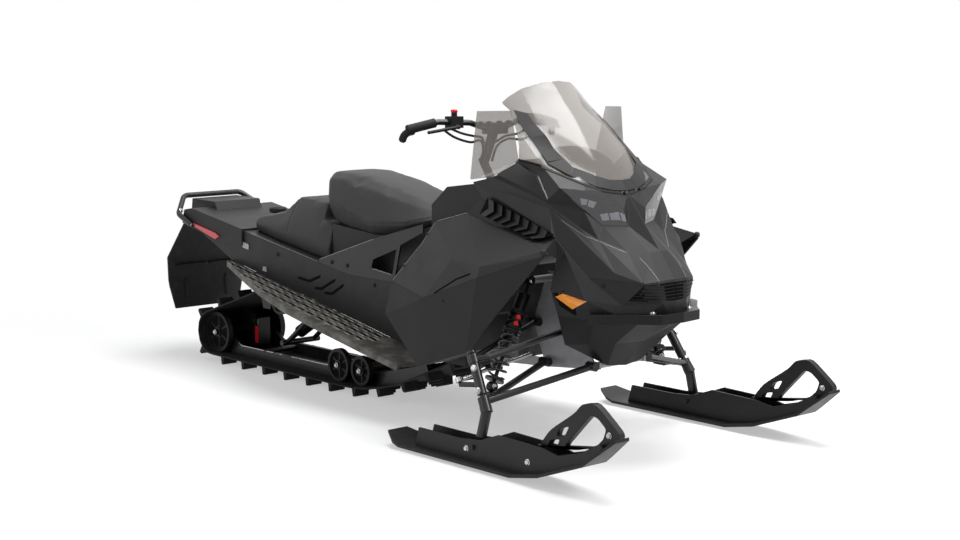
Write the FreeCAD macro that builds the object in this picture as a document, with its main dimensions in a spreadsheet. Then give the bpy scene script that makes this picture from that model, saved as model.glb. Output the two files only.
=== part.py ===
"""A full-size snowmobile as a parametric document, in millimetres.

X points to the front, Y to the rider's left and Z up. The origin is on the ground, below the middle
of the machine's box. It stands on its two skis and on the flat run of its track.
"""

import FreeCAD, Part
import math
import os

import Sketcher
from FreeCAD import Placement, Rotation, Vector

DOC = FreeCAD.newDocument("Snowmobile")

# Driving dimensions: alias, value, what it is
SIZES = [
    ("ski_stance", 1080, "distance between the ski centres"),
    ("ski_width", 150, "width of a ski blade"),
    ("ski_tip_x", 1570, "foremost point of a ski"),
    ("ski_tail_x", 486, "rearmost point of a ski"),
    ("ski_bolt_x", 926, "ski pivot bolt, along"),
    ("ski_bolt_z", 66, "ski pivot bolt, height"),
    ("ski_bolt_radius", 8, "radius of the ski pivot bolt"),
    ("ski_plate", 10, "thickness of the ski blade"),
    ("ski_keel", 9, "depth of the keel under the blade"),
    ("ski_rib", 7, "thickness of the ski's upright ribs"),
    ("ski_rib_gap", 62, "clear width between the ski's ribs"),
    ("ball_low_x", 910, "lower ball joint, along"),
    ("ball_low_y", 512, "lower ball joint, across"),
    ("ball_low_z", 208, "lower ball joint, height"),
    ("ball_high_x", 833, "upper ball joint, along"),
    ("ball_high_y", 492, "upper ball joint, across"),
    ("ball_high_z", 340, "upper ball joint, height"),
    ("ball_pin", 9, "radius of a ball joint's pin"),
    ("arm_eye", 20, "outer radius of an arm's outer eye"),
    ("arm_eye_height", 32, "height of an arm's outer eye"),
    ("lower_arm_tube", 12, "radius of the lower arm's tubes"),
    ("upper_arm_tube", 11, "radius of the upper arm's tubes"),
    ("tie_rod_radius", 7.5, "radius of a tie rod"),
    ("shock_body", 24, "radius of a front shock's body"),
    ("spring_radius", 29, "mean radius of a front spring"),
    ("spring_wire", 4, "radius of the front spring's wire"),
    ("track_width", 381, "width of the track"),
    ("track_belt", 6, "thickness of the track belt"),
    ("track_lug", 32, "height of a track lug"),
    ("track_pitches", 48, "number of lug rows round the track"),
    ("rear_wheel_radius", 89, "radius of the rear idler wheels"),
    ("rear_axle_x", -1240, "rear idler axle, along"),
    ("carrier_radius", 58, "radius of the carrier wheels"),
    ("carrier_x", -785, "carrier wheel shaft, along"),
    ("carrier_z", 318, "carrier wheel shaft, height"),
    ("sprocket_radius", 90, "radius of the drive sprockets"),
    ("drive_axle_x", 305, "drive axle, along"),
    ("drive_axle_z", 298, "drive axle, height"),
    ("track_flat_front", -300, "where the flat run of the track ends"),
    ("approach_radius", 1100, "radius of the track's rise to the front"),
    ("rail_spread", 108, "distance of a slide rail from the middle"),
    ("rail_gauge", 16, "thickness of a slide rail"),
    ("wheel_width", 24, "width of an idler wheel"),
    ("front_wheel_radius", 67, "radius of the first pair of rail wheels"),
    ("front_wheel_x", -360, "first pair of rail wheels, along"),
    ("small_wheel_radius", 60, "radius of the second pair of rail wheels"),
    ("small_wheel_x", -215, "second pair of rail wheels, along"),
    ("axle_radius", 12, "radius of the skid's axles"),
    ("tunnel_width", 410, "outer width of the tunnel"),
    ("tunnel_gauge", 3, "thickness of the tunnel's sheet"),
    ("tunnel_front_x", 470, "front wall of the tunnel"),
    ("tunnel_rear_x", -1330, "rear end of the tunnel"),
    ("tunnel_kick_x", -216, "where the tunnel's top starts to rise"),
    ("tunnel_top_z", 494, "top of the tunnel's level part"),
    ("tunnel_rear_z", 668, "top of the tunnel at its rear end"),
    ("board_rise", 10.4, "slope of the running boards in degrees"),
    ("board_zero_z", 284, "height of a running board's top at x 0"),
    ("board_gauge", 10, "thickness of a running board"),
    ("board_lip", 24, "depth of the running board's outer edge"),
    ("board_reach", 385, "outer edge of a running board, across"),
    ("bumper_tube", 12, "radius of the rear bumper's tube"),
    ("panel_share", 0.985, "inner face of a body panel as a share of its outer one"),
    ("column_radius", 16, "radius of the steering column"),
    ("bar_radius", 11, "radius of the handlebar tube"),
    ("grip_radius", 17, "radius of a grip"),
    ("grip_length", 112, "length of a grip"),
    ("bar_half", 371, "end of a grip from the middle"),
    ("running_gap", 0.3, "clearance between pieces that seat or turn in one another"),
]


class Size:
    """A length or angle that keeps its number and the sheet expression it came from."""

    def __init__(self, number, text):
        self.number = number
        self.text = text

    def __float__(self):
        return float(self.number)

    def joined(self, other, sign, number):
        """Returns a new size made from this one and another one or a number."""
        text = other.text if isinstance(other, Size) else repr(other)
        return Size(number, "(" + self.text + " " + sign + " " + text + ")")

    def __add__(self, other):
        return self.joined(other, "+", self.number + float(other))

    def __sub__(self, other):
        return self.joined(other, "-", self.number - float(other))

    def __mul__(self, other):
        return self.joined(other, "*", self.number * float(other))

    def __truediv__(self, other):
        return self.joined(other, "/", self.number / float(other))

    def __neg__(self):
        return Size(-self.number, "(0 - " + self.text + ")")


class Sheet:
    """The driving dimensions by name, each a Size bound to its cell."""

    def __init__(self, rows):
        self.cells = DOC.addObject("Spreadsheet::Sheet", "Sizes")
        for row, (alias, value, note) in enumerate(rows, start=1):
            self.cells.set("A%d" % row, note)
            self.cells.set("B%d" % row, str(value))
            self.cells.setAlias("B%d" % row, alias)
        DOC.recompute()

    def __getattr__(self, alias):
        return Size(float(self.cells.get(alias)), "Sizes." + alias)


S = Sheet(SIZES)
NODES = []


def node(item, label):
    """Gives a finished sub-part the label that names its file."""
    item.Label = label
    NODES.append(item)
    return item


def bind(item, name, value):
    """Sets a property from a size, through its expression where it has one."""
    if isinstance(value, Size):
        item.setExpression(name, value.text)
    else:
        setattr(item, name, value)


def number(value):
    """The plain number of a size or of a number."""
    return float(value)


def new_body(name):
    return DOC.addObject("PartDesign::Body", name)


def origin_plane(body, role):
    return next(item for item in body.Origin.OriginFeatures if item.Role == role)


def hold(sketch, kind, geometry, point, value):
    """Constrains one coordinate of a sketch point to the sheet's value."""
    index = sketch.addConstraint(Sketcher.Constraint(kind, -1, 1, geometry, point, number(value)))
    if isinstance(value, Size):
        sketch.setExpression("Constraints[%d]" % index, value.text)


def outline(body, name, role, corners, offset=0.0):
    """A closed sketch of straight edges whose corners are held to sizes of the sheet."""
    sketch = body.newObject("Sketcher::SketchObject", name)
    sketch.AttachmentSupport = (origin_plane(body, role), "")
    sketch.MapMode = "FlatFace"
    sketch.AttachmentOffset = Placement(Vector(0, 0, number(offset)), Rotation())
    add_loop(sketch, corners)
    return sketch


def add_loop(sketch, corners):
    """Adds one closed loop of straight edges to a sketch."""
    first = sketch.GeometryCount
    count = len(corners)
    for place, corner in enumerate(corners):
        after = corners[(place + 1) % count]
        start = Vector(number(corner[0]), number(corner[1]), 0)
        end = Vector(number(after[0]), number(after[1]), 0)
        sketch.addGeometry(Part.LineSegment(start, end), False)
    for place in range(count):
        nearby = first + (place + 1) % count
        sketch.addConstraint(Sketcher.Constraint("Coincident", first + place, 2, nearby, 1))
    for place, (across, up) in enumerate(corners):
        hold(sketch, "DistanceX", first + place, 1, across)
        hold(sketch, "DistanceY", first + place, 1, up)


def circle_sketch(body, name, role, centre, radius, offset=0.0):
    """A sketch of one circle, its centre and radius held to sizes of the sheet."""
    sketch = body.newObject("Sketcher::SketchObject", name)
    sketch.AttachmentSupport = (origin_plane(body, role), "")
    sketch.MapMode = "FlatFace"
    sketch.AttachmentOffset = Placement(Vector(0, 0, number(offset)), Rotation())
    middle = Vector(number(centre[0]), number(centre[1]), 0)
    sketch.addGeometry(Part.Circle(middle, Vector(0, 0, 1), number(radius)), False)
    hold(sketch, "DistanceX", 0, 3, centre[0])
    hold(sketch, "DistanceY", 0, 3, centre[1])
    index = sketch.addConstraint(Sketcher.Constraint("Radius", 0, number(radius)))
    if isinstance(radius, Size):
        sketch.setExpression("Constraints[%d]" % index, radius.text)
    return sketch


def feature(body, kind, name, sketch, length=None, both_sides=False, backwards=False):
    """A pad or pocket of a sketch, by a length or through all."""
    item = body.newObject("PartDesign::" + kind, name)
    item.Profile = sketch
    if length is None:
        item.Type = "ThroughAll"
    else:
        bind(item, "Length", length)
    if both_sides:
        item.SideType = "Symmetric"
    item.Reversed = backwards
    return item


def mirrored(source, name):
    """The same piece on the machine's other side."""
    item = DOC.addObject("Part::Mirroring", name)
    item.Source = source
    item.Base = Vector(0, 0, 0)
    item.Normal = Vector(0, 1, 0)
    return item


def group(name, members):
    """Like pieces that share a node without touching."""
    item = DOC.addObject("Part::Compound", name)
    item.Links = members
    return item


def solid_feature(name, shape):
    """A piece whose shape is made in code."""
    item = DOC.addObject("Part::Feature", name)
    item.Shape = shape
    return item


def rod(start, end, radius):
    """A straight round bar between two points."""
    run = end.sub(start)
    return Part.makeCylinder(number(radius), run.Length, start, run)


def tube_path(points, bend):
    """A wire of straight runs joined by arcs of one bend radius."""
    edges = []
    last = points[0]
    for before, corner, after in zip(points, points[1:], points[2:]):
        into = corner.sub(before)
        away = after.sub(corner)
        into.normalize()
        away.normalize()
        turn = into.getAngle(away)
        setback = bend * math.tan(turn / 2)
        start = corner.sub(into * setback)
        end = corner.add(away * setback)
        inward = away.sub(into)
        inward.normalize()
        centre_gap = bend / math.cos(turn / 2)
        middle = corner.add(inward * (centre_gap - bend))
        edges.append(Part.LineSegment(last, start).toShape())
        edges.append(Part.Arc(start, middle, end).toShape())
        last = end
    edges.append(Part.LineSegment(last, points[-1]).toShape())
    return Part.Wire(edges)


def bent_tube(points, bend, radius):
    """A round bar along straight runs joined by arcs."""
    path = tube_path(points, bend)
    start = points[0]
    heading = points[1].sub(start)
    ring = Part.Wire(Part.makeCircle(number(radius), start, heading))
    return path.makePipeShell([ring], True, True)


# Body panels: one faceted skin, seen from a point inside the nose

PANEL_CENTRE = Vector(800, 0, 600)


def inward(point, share):
    """The point behind an outer corner, on the line to the skin's inner point."""
    return PANEL_CENTRE.add(point.sub(PANEL_CENTRE) * share)


def fan(corners):
    """A facet, split into triangles from its first corner where it isn't flat."""
    if len(corners) > 3:
        flat = Part.makePolygon(corners + [corners[0]])
        plane = flat.findPlane(0.01)
        if plane:
            return [Part.Face(flat)]
    faces = []
    for second, third in zip(corners[1:], corners[2:]):
        faces.append(Part.Face(Part.makePolygon([corners[0], second, third, corners[0]])))
    return faces


def skin_solid(loops, share):
    """A thin closed solid behind facets that join edge to edge."""
    faces = []
    uses = {}
    for loop in loops:
        outer = [Vector(*corner) for corner in loop]
        inner = [inward(corner, share) for corner in outer]
        faces += fan(outer)
        faces += fan(inner)
        for first, second in zip(loop, loop[1:] + loop[:1]):
            edge = tuple(sorted((first, second)))
            uses[edge] = uses.get(edge, 0) + 1
    for (first, second), count in uses.items():
        if count == 1:
            start = Vector(*first)
            end = Vector(*second)
            faces += fan([start, end, inward(end, share), inward(start, share)])
    shell = Part.Shell(faces)
    shell.sewShape()
    solid = Part.Solid(shell)
    if solid.Volume < 0:
        solid.reverse()
    return solid.removeSplitter()


def blend(corners, weights):
    """A point on a facet, as a weighted mean of its corners."""
    return tuple(sum(w * corner[k] for w, corner in zip(weights, corners)) for k in range(3))


def other_side(loops):
    return [[(x, -y, z) for x, y, z in loop] for loop in loops]


def skin(name, loops, share=None, whole=False):
    """A body panel on the right side, or on both sides of the middle where it is whole."""
    depth = number(S.panel_share) if share is None else share
    right = other_side(loops)
    return solid_feature(name, skin_solid(right + loops if whole else right, depth))


# Corners of the cowl on its left half: x forward, y out, z up
TRIM_FRONT = (1080, 0, 890)
TRIM_INNER = (1060, 85, 904)
TRIM_MID = (1030, 165, 931)
TRIM_OUTER = (905, 238, 985)
TRIM_TOP = (811, 262, 1002)
WINDOW_REAR = (713, 290, 942)
WINDOW_FRONT = (968, 290, 870)
COWL_REAR = (580, 268, 915)
VENT_HIGH_REAR = (636, 268, 858)
VENT_HIGH_FRONT = (1012, 302, 769)
RIDGE_REAR = (985, 285, 853)
RIDGE_MID = (1048, 200, 784)
RIDGE_LOW = (1100, 165, 747)
RIDGE_TIP = (1172, 100, 709)
LAMP_REAR = (1018, 268, 922)
LAMP_TOP = (1060, 190, 912)
LAMP_BROW = (1112, 55, 842)
LAMP_NOSE = (1122, 42, 785)
LAMP_INNER = (1084, 130, 790)
LAMP_LOW = (1048, 190, 853)
BONNET_MID = (1232, 0, 706)
BONNET_TIP = (1225, 45, 704)
NOSE_MID = (1300, 0, 616)
NOSE_EDGE = (1290, 75, 613)
NOSE_CORNER = (1272, 125, 610)
CREASE_REAR = (1022, 292, 754)
CREASE_TIP = (1195, 180, 642)
LOWER_REAR = (1062, 292, 719)
LOWER_MID = (1130, 242, 626)
SKIRT_TOP = (1048, 312, 690)
SKIRT_REAR = (1008, 300, 580)
SKIRT_FRONT = (1140, 270, 555)
GRILLE_LOW = (1214, 167, 535)
GRILLE_MID = (1300, 60, 541)
GRILLE_CENTRE = (1306, 0, 541)
HOUSING_REAR = (1012, 268, 487)
HOUSING_FRONT = (1150, 235, 480)
KEEL_HIGH = (1250, 130, 470)
KEEL_HIGH_MID = (1296, 0, 470)
KEEL_REAR = (968, 190, 372)
KEEL_SIDE = (1080, 185, 388)
KEEL_FRONT = (1150, 130, 392)
KEEL_FRONT_MID = (1160, 0, 388)
KEEL_LOW = (1072, 85, 300)
KEEL_LOW_MID = (1080, 0, 292)

PANEL_TOP_REAR = (395, 285, 760)
PANEL_WAIST = (350, 320, 672)
PANEL_LOW_REAR = (190, 325, 525)
PANEL_LOW_MID = (445, 385, 496)
PANEL_LOW_FRONT = (757, 410, 602)
PANEL_TIP_LOW = (1068, 390, 705)
PANEL_TIP = (1062, 384, 722)
PANEL_CREASE_REAR = (600, 385, 650)
PANEL_CREASE = (780, 415, 645)
PANEL_TOP_A = (556, 274, 803)
PANEL_TOP_B = (740, 302, 772)
PANEL_TOP_C = (905, 330, 748)
WELL_REAR = (205, 365, 407)
WELL_LOW = (430, 400, 245)
WELL_FRONT = (692, 400, 331)


def hood():
    """The upper bonnet, from the windscreen's trim down to the nose."""
    loops = [
        [COWL_REAR, VENT_HIGH_REAR, VENT_HIGH_FRONT, RIDGE_REAR, WINDOW_FRONT, WINDOW_REAR],
        [WINDOW_REAR, WINDOW_FRONT, TRIM_OUTER, TRIM_TOP],
        [TRIM_OUTER, WINDOW_FRONT, LAMP_REAR, TRIM_MID],
        [WINDOW_FRONT, RIDGE_REAR, RIDGE_MID, LAMP_LOW, LAMP_REAR],
        [TRIM_MID, LAMP_REAR, LAMP_TOP, TRIM_INNER],
        [TRIM_INNER, LAMP_TOP, LAMP_BROW, TRIM_FRONT],
        [LAMP_LOW, RIDGE_MID, RIDGE_LOW, LAMP_INNER],
        [LAMP_INNER, RIDGE_LOW, RIDGE_TIP, LAMP_NOSE],
        [LAMP_NOSE, RIDGE_TIP, BONNET_TIP, BONNET_MID],
        [TRIM_FRONT, LAMP_BROW, LAMP_NOSE, BONNET_MID],
        [BONNET_MID, BONNET_TIP, NOSE_EDGE, NOSE_MID],
        [BONNET_TIP, RIDGE_TIP, NOSE_CORNER, NOSE_EDGE],
        [RIDGE_REAR, VENT_HIGH_FRONT, CREASE_REAR, CREASE_TIP, RIDGE_MID],
        [RIDGE_MID, CREASE_TIP, RIDGE_LOW],
        [RIDGE_LOW, CREASE_TIP, NOSE_CORNER, RIDGE_TIP],
        [CREASE_REAR, LOWER_REAR, LOWER_MID, CREASE_TIP],
        [CREASE_TIP, LOWER_MID, NOSE_CORNER],
    ]
    return node(skin("Hood", loops, whole=True), "hood")


def headlamps():
    """The two swept headlamps, set into the hood's skin."""
    loops = [
        [LAMP_REAR, LAMP_LOW, LAMP_INNER, LAMP_TOP],
        [LAMP_TOP, LAMP_INNER, LAMP_NOSE, LAMP_BROW],
    ]
    right = skin("HeadlampRight", loops)
    return node(group("Headlamps", [right, mirrored(right, "HeadlampLeft")]), "headlamps")


def nose_cowl():
    """The lower nose round the grille, down to the front bumper."""
    loops = [
        [LOWER_REAR, SKIRT_TOP, SKIRT_REAR, SKIRT_FRONT, LOWER_MID],
        [LOWER_MID, SKIRT_FRONT, GRILLE_LOW, NOSE_CORNER],
        [NOSE_CORNER, GRILLE_LOW, GRILLE_MID, NOSE_EDGE],
        [NOSE_EDGE, GRILLE_MID, GRILLE_CENTRE, NOSE_MID],
        [SKIRT_REAR, HOUSING_REAR, HOUSING_FRONT, SKIRT_FRONT],
        [SKIRT_FRONT, HOUSING_FRONT, KEEL_HIGH, GRILLE_LOW],
        [GRILLE_LOW, KEEL_HIGH, GRILLE_MID],
        [GRILLE_MID, KEEL_HIGH, KEEL_HIGH_MID, GRILLE_CENTRE],
    ]
    return node(skin("NoseCowl", loops, whole=True), "nose_cowl")


def belly_pan():
    """The black pan under the nose."""
    loops = [
        [HOUSING_REAR, KEEL_REAR, KEEL_SIDE, HOUSING_FRONT],
        [HOUSING_FRONT, KEEL_SIDE, KEEL_FRONT, KEEL_HIGH],
        [KEEL_HIGH, KEEL_FRONT, KEEL_FRONT_MID, KEEL_HIGH_MID],
        [KEEL_REAR, KEEL_LOW, KEEL_SIDE],
        [KEEL_SIDE, KEEL_LOW, KEEL_FRONT],
        [KEEL_FRONT, KEEL_LOW, KEEL_LOW_MID, KEEL_FRONT_MID],
    ]
    return node(skin("BellyPan", loops, whole=True), "belly_pan")


def side_panels():
    """The faceted panel on each side, over the rider's foot."""
    loops = [
        [PANEL_TOP_REAR, PANEL_WAIST, PANEL_CREASE_REAR, PANEL_TOP_A],
        [PANEL_TOP_A, PANEL_CREASE_REAR, PANEL_CREASE, PANEL_TOP_B],
        [PANEL_TOP_B, PANEL_CREASE, PANEL_TOP_C],
        [PANEL_TOP_C, PANEL_CREASE, PANEL_TIP],
        [PANEL_WAIST, PANEL_LOW_REAR, PANEL_LOW_MID, PANEL_CREASE_REAR],
        [PANEL_CREASE_REAR, PANEL_LOW_MID, PANEL_LOW_FRONT, PANEL_CREASE],
        [PANEL_CREASE, PANEL_LOW_FRONT, PANEL_TIP_LOW, PANEL_TIP],
    ]
    right = node(skin("SidePanelRight", loops), "side_panel_right")
    node(mirrored(right, "SidePanelLeft"), "side_panel_left")


def vent_panels():
    """The louvred strip between the hood and each side panel."""
    loops = [
        [VENT_HIGH_REAR, PANEL_TOP_A, PANEL_TOP_B, VENT_HIGH_FRONT],
        [VENT_HIGH_FRONT, PANEL_TOP_B, PANEL_TOP_C, CREASE_REAR],
        [CREASE_REAR, PANEL_TOP_C, PANEL_TIP, SKIRT_TOP, LOWER_REAR],
    ]
    right = skin("VentRight", loops)
    return node(group("Vents", [right, mirrored(right, "VentLeft")]), "vent_panels")


def footwells():
    """The toe guard on each side: an outer wall, and a floor that rises to the front."""
    loops = [
        [PANEL_LOW_REAR, WELL_REAR, PANEL_LOW_MID],
        [PANEL_LOW_MID, WELL_REAR, WELL_LOW],
        [PANEL_LOW_MID, WELL_LOW, WELL_FRONT],
        [PANEL_LOW_MID, WELL_FRONT, PANEL_LOW_FRONT],
        [PANEL_LOW_FRONT, WELL_FRONT, PANEL_TIP_LOW],
    ]
    wall = skin_solid(other_side(loops), number(S.panel_share))
    tunnel_side = number(S.tunnel_width) / 2
    floor_line = [(330, 226), (430, 247), (690, 334), (782, 470), (776, 474), (684, 340), (430, 253), (330, 232)]
    corners = [Vector(x, -tunnel_side, z) for x, z in floor_line]
    strip = Part.Face(Part.makePolygon(corners + [corners[0]]))
    floor = strip.extrude(Vector(0, tunnel_side - 396, 0))
    right = node(solid_feature("FootwellRight", wall.fuse(floor).removeSplitter()), "footwell_right")
    node(mirrored(right, "FootwellLeft"), "footwell_left")


# Tunnel and what stands on it


def tunnel():
    """The bent sheet tunnel over the track, open below and at the rear."""
    body = new_body("Tunnel")
    slope = (S.tunnel_rear_z - S.tunnel_top_z) / (S.tunnel_kick_x - S.tunnel_rear_x)
    rear_low = S.tunnel_rear_z - 68
    side = [
        (S.tunnel_front_x, S.tunnel_top_z),
        (S.tunnel_kick_x, S.tunnel_top_z),
        (S.tunnel_rear_x, S.tunnel_rear_z),
        (S.tunnel_rear_x, rear_low),
        (-1034, 474),
        (S.carrier_x - 70, 441),
        (S.carrier_x - 24, S.carrier_z - 26),
        (S.carrier_x + 24, S.carrier_z - 26),
        (S.carrier_x + 80, 413),
        (28, 279),
        (S.drive_axle_x - 90, 225),
        (S.tunnel_front_x, 225),
    ]
    profile = outline(body, "SideOutline", "XZ_Plane", side)
    feature(body, "Pad", "Block", profile, S.tunnel_width, both_sides=True)
    beyond = 60
    hollow = [
        (S.tunnel_front_x - S.tunnel_gauge, 0),
        (S.tunnel_front_x - S.tunnel_gauge, S.tunnel_top_z - S.tunnel_gauge),
        (S.tunnel_kick_x, S.tunnel_top_z - S.tunnel_gauge),
        (S.tunnel_rear_x - beyond, S.tunnel_rear_z - S.tunnel_gauge + slope * beyond),
        (S.tunnel_rear_x - beyond, 0),
    ]
    inside = outline(body, "InnerOutline", "XZ_Plane", hollow)
    feature(body, "Pocket", "Hollow", inside, S.tunnel_width - S.tunnel_gauge * 2, both_sides=True)
    return node(body, "tunnel")


def running_boards():
    """The sloping boards that the rider stands on, each with a deep outer edge."""
    body = new_body("RunningBoardRight")
    edge = [(-1050, -232), (-850, -290), (-640, -345)]
    inner = -(S.tunnel_width / 2)
    outer = -S.board_reach
    plate = [(-1060, inner)] + edge + [(-430, outer + 8), (-180, outer), (300, outer), (300, inner)]
    top = outline(body, "BoardOutline", "XY_Plane", plate)
    feature(body, "Pad", "Board", top, S.board_gauge, backwards=True)
    wide = 14
    lip = edge + [(-430, outer + 8), (-180, outer), (300, outer), (300, outer + wide)]
    lip += [(-180, outer + wide), (-430, outer + 8 + wide), (-640, -345 + wide), (-850, -290 + wide)]
    lip += [(-1050, -232 + wide)]
    rim = outline(body, "LipOutline", "XY_Plane", lip)
    feature(body, "Pad", "Lip", rim, S.board_lip, backwards=True)
    height = number(S.board_zero_z)
    body.Placement = Placement(Vector(0, 0, height), Rotation(Vector(0, 1, 0), number(S.board_rise)))
    left = mirrored(body, "RunningBoardLeft")
    return node(group("RunningBoards", [body, left]), "running_boards")


def tail_panel():
    """The moulded cover over the tunnel's rear end, with a raised rear block."""
    body = new_body("TailPanel")
    slope = (S.tunnel_rear_z - S.tunnel_top_z) / (S.tunnel_kick_x - S.tunnel_rear_x)
    cover = 8
    front = -945
    front_top = S.tunnel_rear_z + slope * (number(S.tunnel_rear_x) - front)
    side = [
        (front, front_top + cover),
        (S.tunnel_rear_x, S.tunnel_rear_z + cover),
        (S.tunnel_rear_x - 60, S.tunnel_rear_z - 2),
        (S.tunnel_rear_x - 78, S.tunnel_rear_z - 62),
        (-1110, 545),
        (front, front_top - 62),
    ]
    profile = outline(body, "CoverOutline", "XZ_Plane", side)
    feature(body, "Pad", "Cover", profile, S.tunnel_width + 20, both_sides=True)
    block = [
        (S.tunnel_rear_x + 60, S.tunnel_rear_z - 2),
        (S.tunnel_rear_x + 40, S.tunnel_rear_z + 34),
        (S.tunnel_rear_x - 140, S.tunnel_rear_z + 36),
        (S.tunnel_rear_x - 150, S.tunnel_rear_z - 30),
        (S.tunnel_rear_x - 60, S.tunnel_rear_z - 40),
    ]
    raised = outline(body, "BlockOutline", "XZ_Plane", block)
    feature(body, "Pad", "RearBlock", raised, 240, both_sides=True)
    hollow = [
        (front + 40, front_top - slope * 40),
        (S.tunnel_rear_x, S.tunnel_rear_z),
        (S.tunnel_rear_x, 400),
        (front + 40, 400),
    ]
    inside = outline(body, "TunnelRoom", "XZ_Plane", hollow)
    feature(body, "Pocket", "OverTunnel", inside, S.tunnel_width, both_sides=True)
    return node(body, "tail_panel")


def tail_lights():
    """The red wedge lamp on each side of the tail."""
    body = new_body("TailLightRight")
    side = [
        (S.tunnel_rear_x + 22, S.tunnel_rear_z - 56),
        (S.tunnel_rear_x + 34, S.tunnel_rear_z - 72),
        (S.tunnel_rear_x + 190, S.tunnel_rear_z - 112),
        (S.tunnel_rear_x + 222, S.tunnel_rear_z - 98),
        (S.tunnel_rear_x + 190, S.tunnel_rear_z - 84),
    ]
    profile = outline(body, "LampOutline", "XZ_Plane", side, offset=S.tunnel_width / 2 + 10)
    feature(body, "Pad", "Lens", profile, 7)
    return node(group("TailLights", [body, mirrored(body, "TailLightLeft")]), "tail_lights")


def snow_flap():
    """The hanging flap behind the track, with two upright ribs."""
    top = Vector(number(S.tunnel_rear_x) - 78, 0, number(S.tunnel_rear_z) - 62.4)
    line = [top, Vector(-1541, 0, 437), Vector(-1560, 0, 330), Vector(-1552, 0, 199)]
    gauge = 8
    back = [point.add(Vector(gauge, 0, 0)) for point in reversed(line)]
    back[-1] = back[-1].sub(Vector(0, 0, 1.9))
    half = 215
    ribbon = Part.Face(Part.makePolygon(line + back + [line[0]]))
    sheet = ribbon.extrude(Vector(0, 2 * half, 0))
    sheet.translate(Vector(0, -half, 0))
    front = [(-205, 640), (205, 640), (half, 437), (196, 300), (169, 190), (-169, 190), (-196, 300), (-half, 437)]
    shape = [Vector(-1700, y, z) for y, z in front]
    window = Part.Face(Part.makePolygon(shape + [shape[0]])).extrude(Vector(400, 0, 0))
    flap = sheet.common(window)
    for side in (-1, 1):
        rib = Part.makeBox(16, 14, 110, Vector(-1572, side * 110 - 7, 205))
        flap = flap.fuse(rib)
    return node(solid_feature("SnowFlap", flap.removeSplitter()), "snow_flap")


def rear_bumper():
    """The bent tube round the tail."""
    reach = number(S.tunnel_width) / 2 + 10 + number(S.bumper_tube) + number(S.running_gap)
    rear = number(S.tunnel_rear_x)
    half = [Vector(rear + 14, reach, 604), Vector(rear - 86, reach, 645), Vector(rear - 159, 151, 717)]
    path = half + [Vector(point.x, -point.y, point.z) for point in reversed(half)]
    return node(solid_feature("RearBumper", bent_tube(path, 45, S.bumper_tube)), "rear_bumper")


def loft_body(name, sections):
    """A body lofted through closed outlines at stations along X."""
    body = new_body(name)
    sketches = []
    for place, (along, corners) in enumerate(sections):
        half = [(across, up) for across, up in corners]
        whole = half + [(-across, up) for across, up in reversed(half)]
        sketches.append(outline(body, name + "Section%d" % place, "YZ_Plane", whole, offset=along))
    loft = body.newObject("PartDesign::AdditiveLoft", name + "Loft")
    loft.Profile = sketches[0]
    loft.Sections = sketches[1:]
    loft.Ruled = True
    return body


def rider_seat():
    """The high front seat, crowned and narrower at its nose."""
    sections = [
        (-462, [(100, 735), (128, 770), (125, 850), (96, 884)]),
        (-430, [(120, 690), (150, 760), (140, 860), (100, 893)]),
        (-330, [(140, 673), (165, 745), (150, 865), (105, 893)]),
        (-120, [(160, 658), (180, 702), (150, 830), (105, 862)]),
        (70, [(150, 668), (172, 720), (128, 792), (85, 820)]),
        (205, [(120, 715), (140, 742), (95, 764), (60, 775)]),
    ]
    return node(loft_body("RiderSeat", sections), "rider_seat")


def tunnel_line(along):
    """Height of the tunnel's top at a place along it."""
    rear = number(S.tunnel_rear_x)
    kick = number(S.tunnel_kick_x)
    rise = (number(S.tunnel_rear_z) - number(S.tunnel_top_z)) / (kick - rear)
    return number(S.tunnel_top_z) + max(0.0, kick - along) * rise


def cargo_seat():
    """The low padded deck behind the seat."""
    sections = [
        (-940, [(150, tunnel_line(-940)), (160, 640), (140, 668)]),
        (-760, [(165, tunnel_line(-760)), (170, 620), (125, 706)]),
        (-690, [(165, tunnel_line(-690)), (170, 612), (100, 772)]),
        (-475, [(165, tunnel_line(-475)), (170, 600), (110, 764)]),
        (-465, [(165, tunnel_line(-465)), (170, 590), (150, 685)]),
        (-400, [(165, tunnel_line(-400)), (168, 575), (140, 678)]),
    ]
    return node(loft_body("CargoSeat", sections), "cargo_seat")


COLUMN_TOP = Vector(352, 0, 948)
COLUMN_FOOT = Vector(620, 0, 560)


def column_axis():
    """Direction of the steering column, upwards."""
    axis = COLUMN_TOP.sub(COLUMN_FOOT)
    axis.normalize()
    return axis


def console():
    """Fuel tank and console between seat and dash, with the steering column's bearing."""
    body = new_body("TankAndConsole")
    gap = S.running_gap
    side = [
        (-400 + gap.number, tunnel_line(-400)),
        (S.tunnel_kick_x, S.tunnel_top_z),
        (S.tunnel_front_x, S.tunnel_top_z),
        (S.tunnel_front_x, 640),
        (600, 640),
        (620, 905),
        (540, 905),
        (300, 872),
        (212, 800),
        (212, 714.7),
        (205, 714.7),
        (70, 667.7),
        (-120, 657.7),
        (-330, 672.7),
        (-400 + gap.number, 677.5),
    ]
    profile = outline(body, "TankOutline", "XZ_Plane", side)
    feature(body, "Pad", "Tank", profile, 290, both_sides=True)
    bore = DOC.addObject("Part::Feature", "ColumnBore")
    axis = column_axis()
    start = COLUMN_FOOT.sub(axis * 50)
    bore.Shape = Part.makeCylinder(number(S.column_radius + gap), 700, start, axis)
    cut = DOC.addObject("Part::Cut", "Console")
    cut.Base = body
    cut.Tool = bore
    return node(cut, "console")


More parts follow.
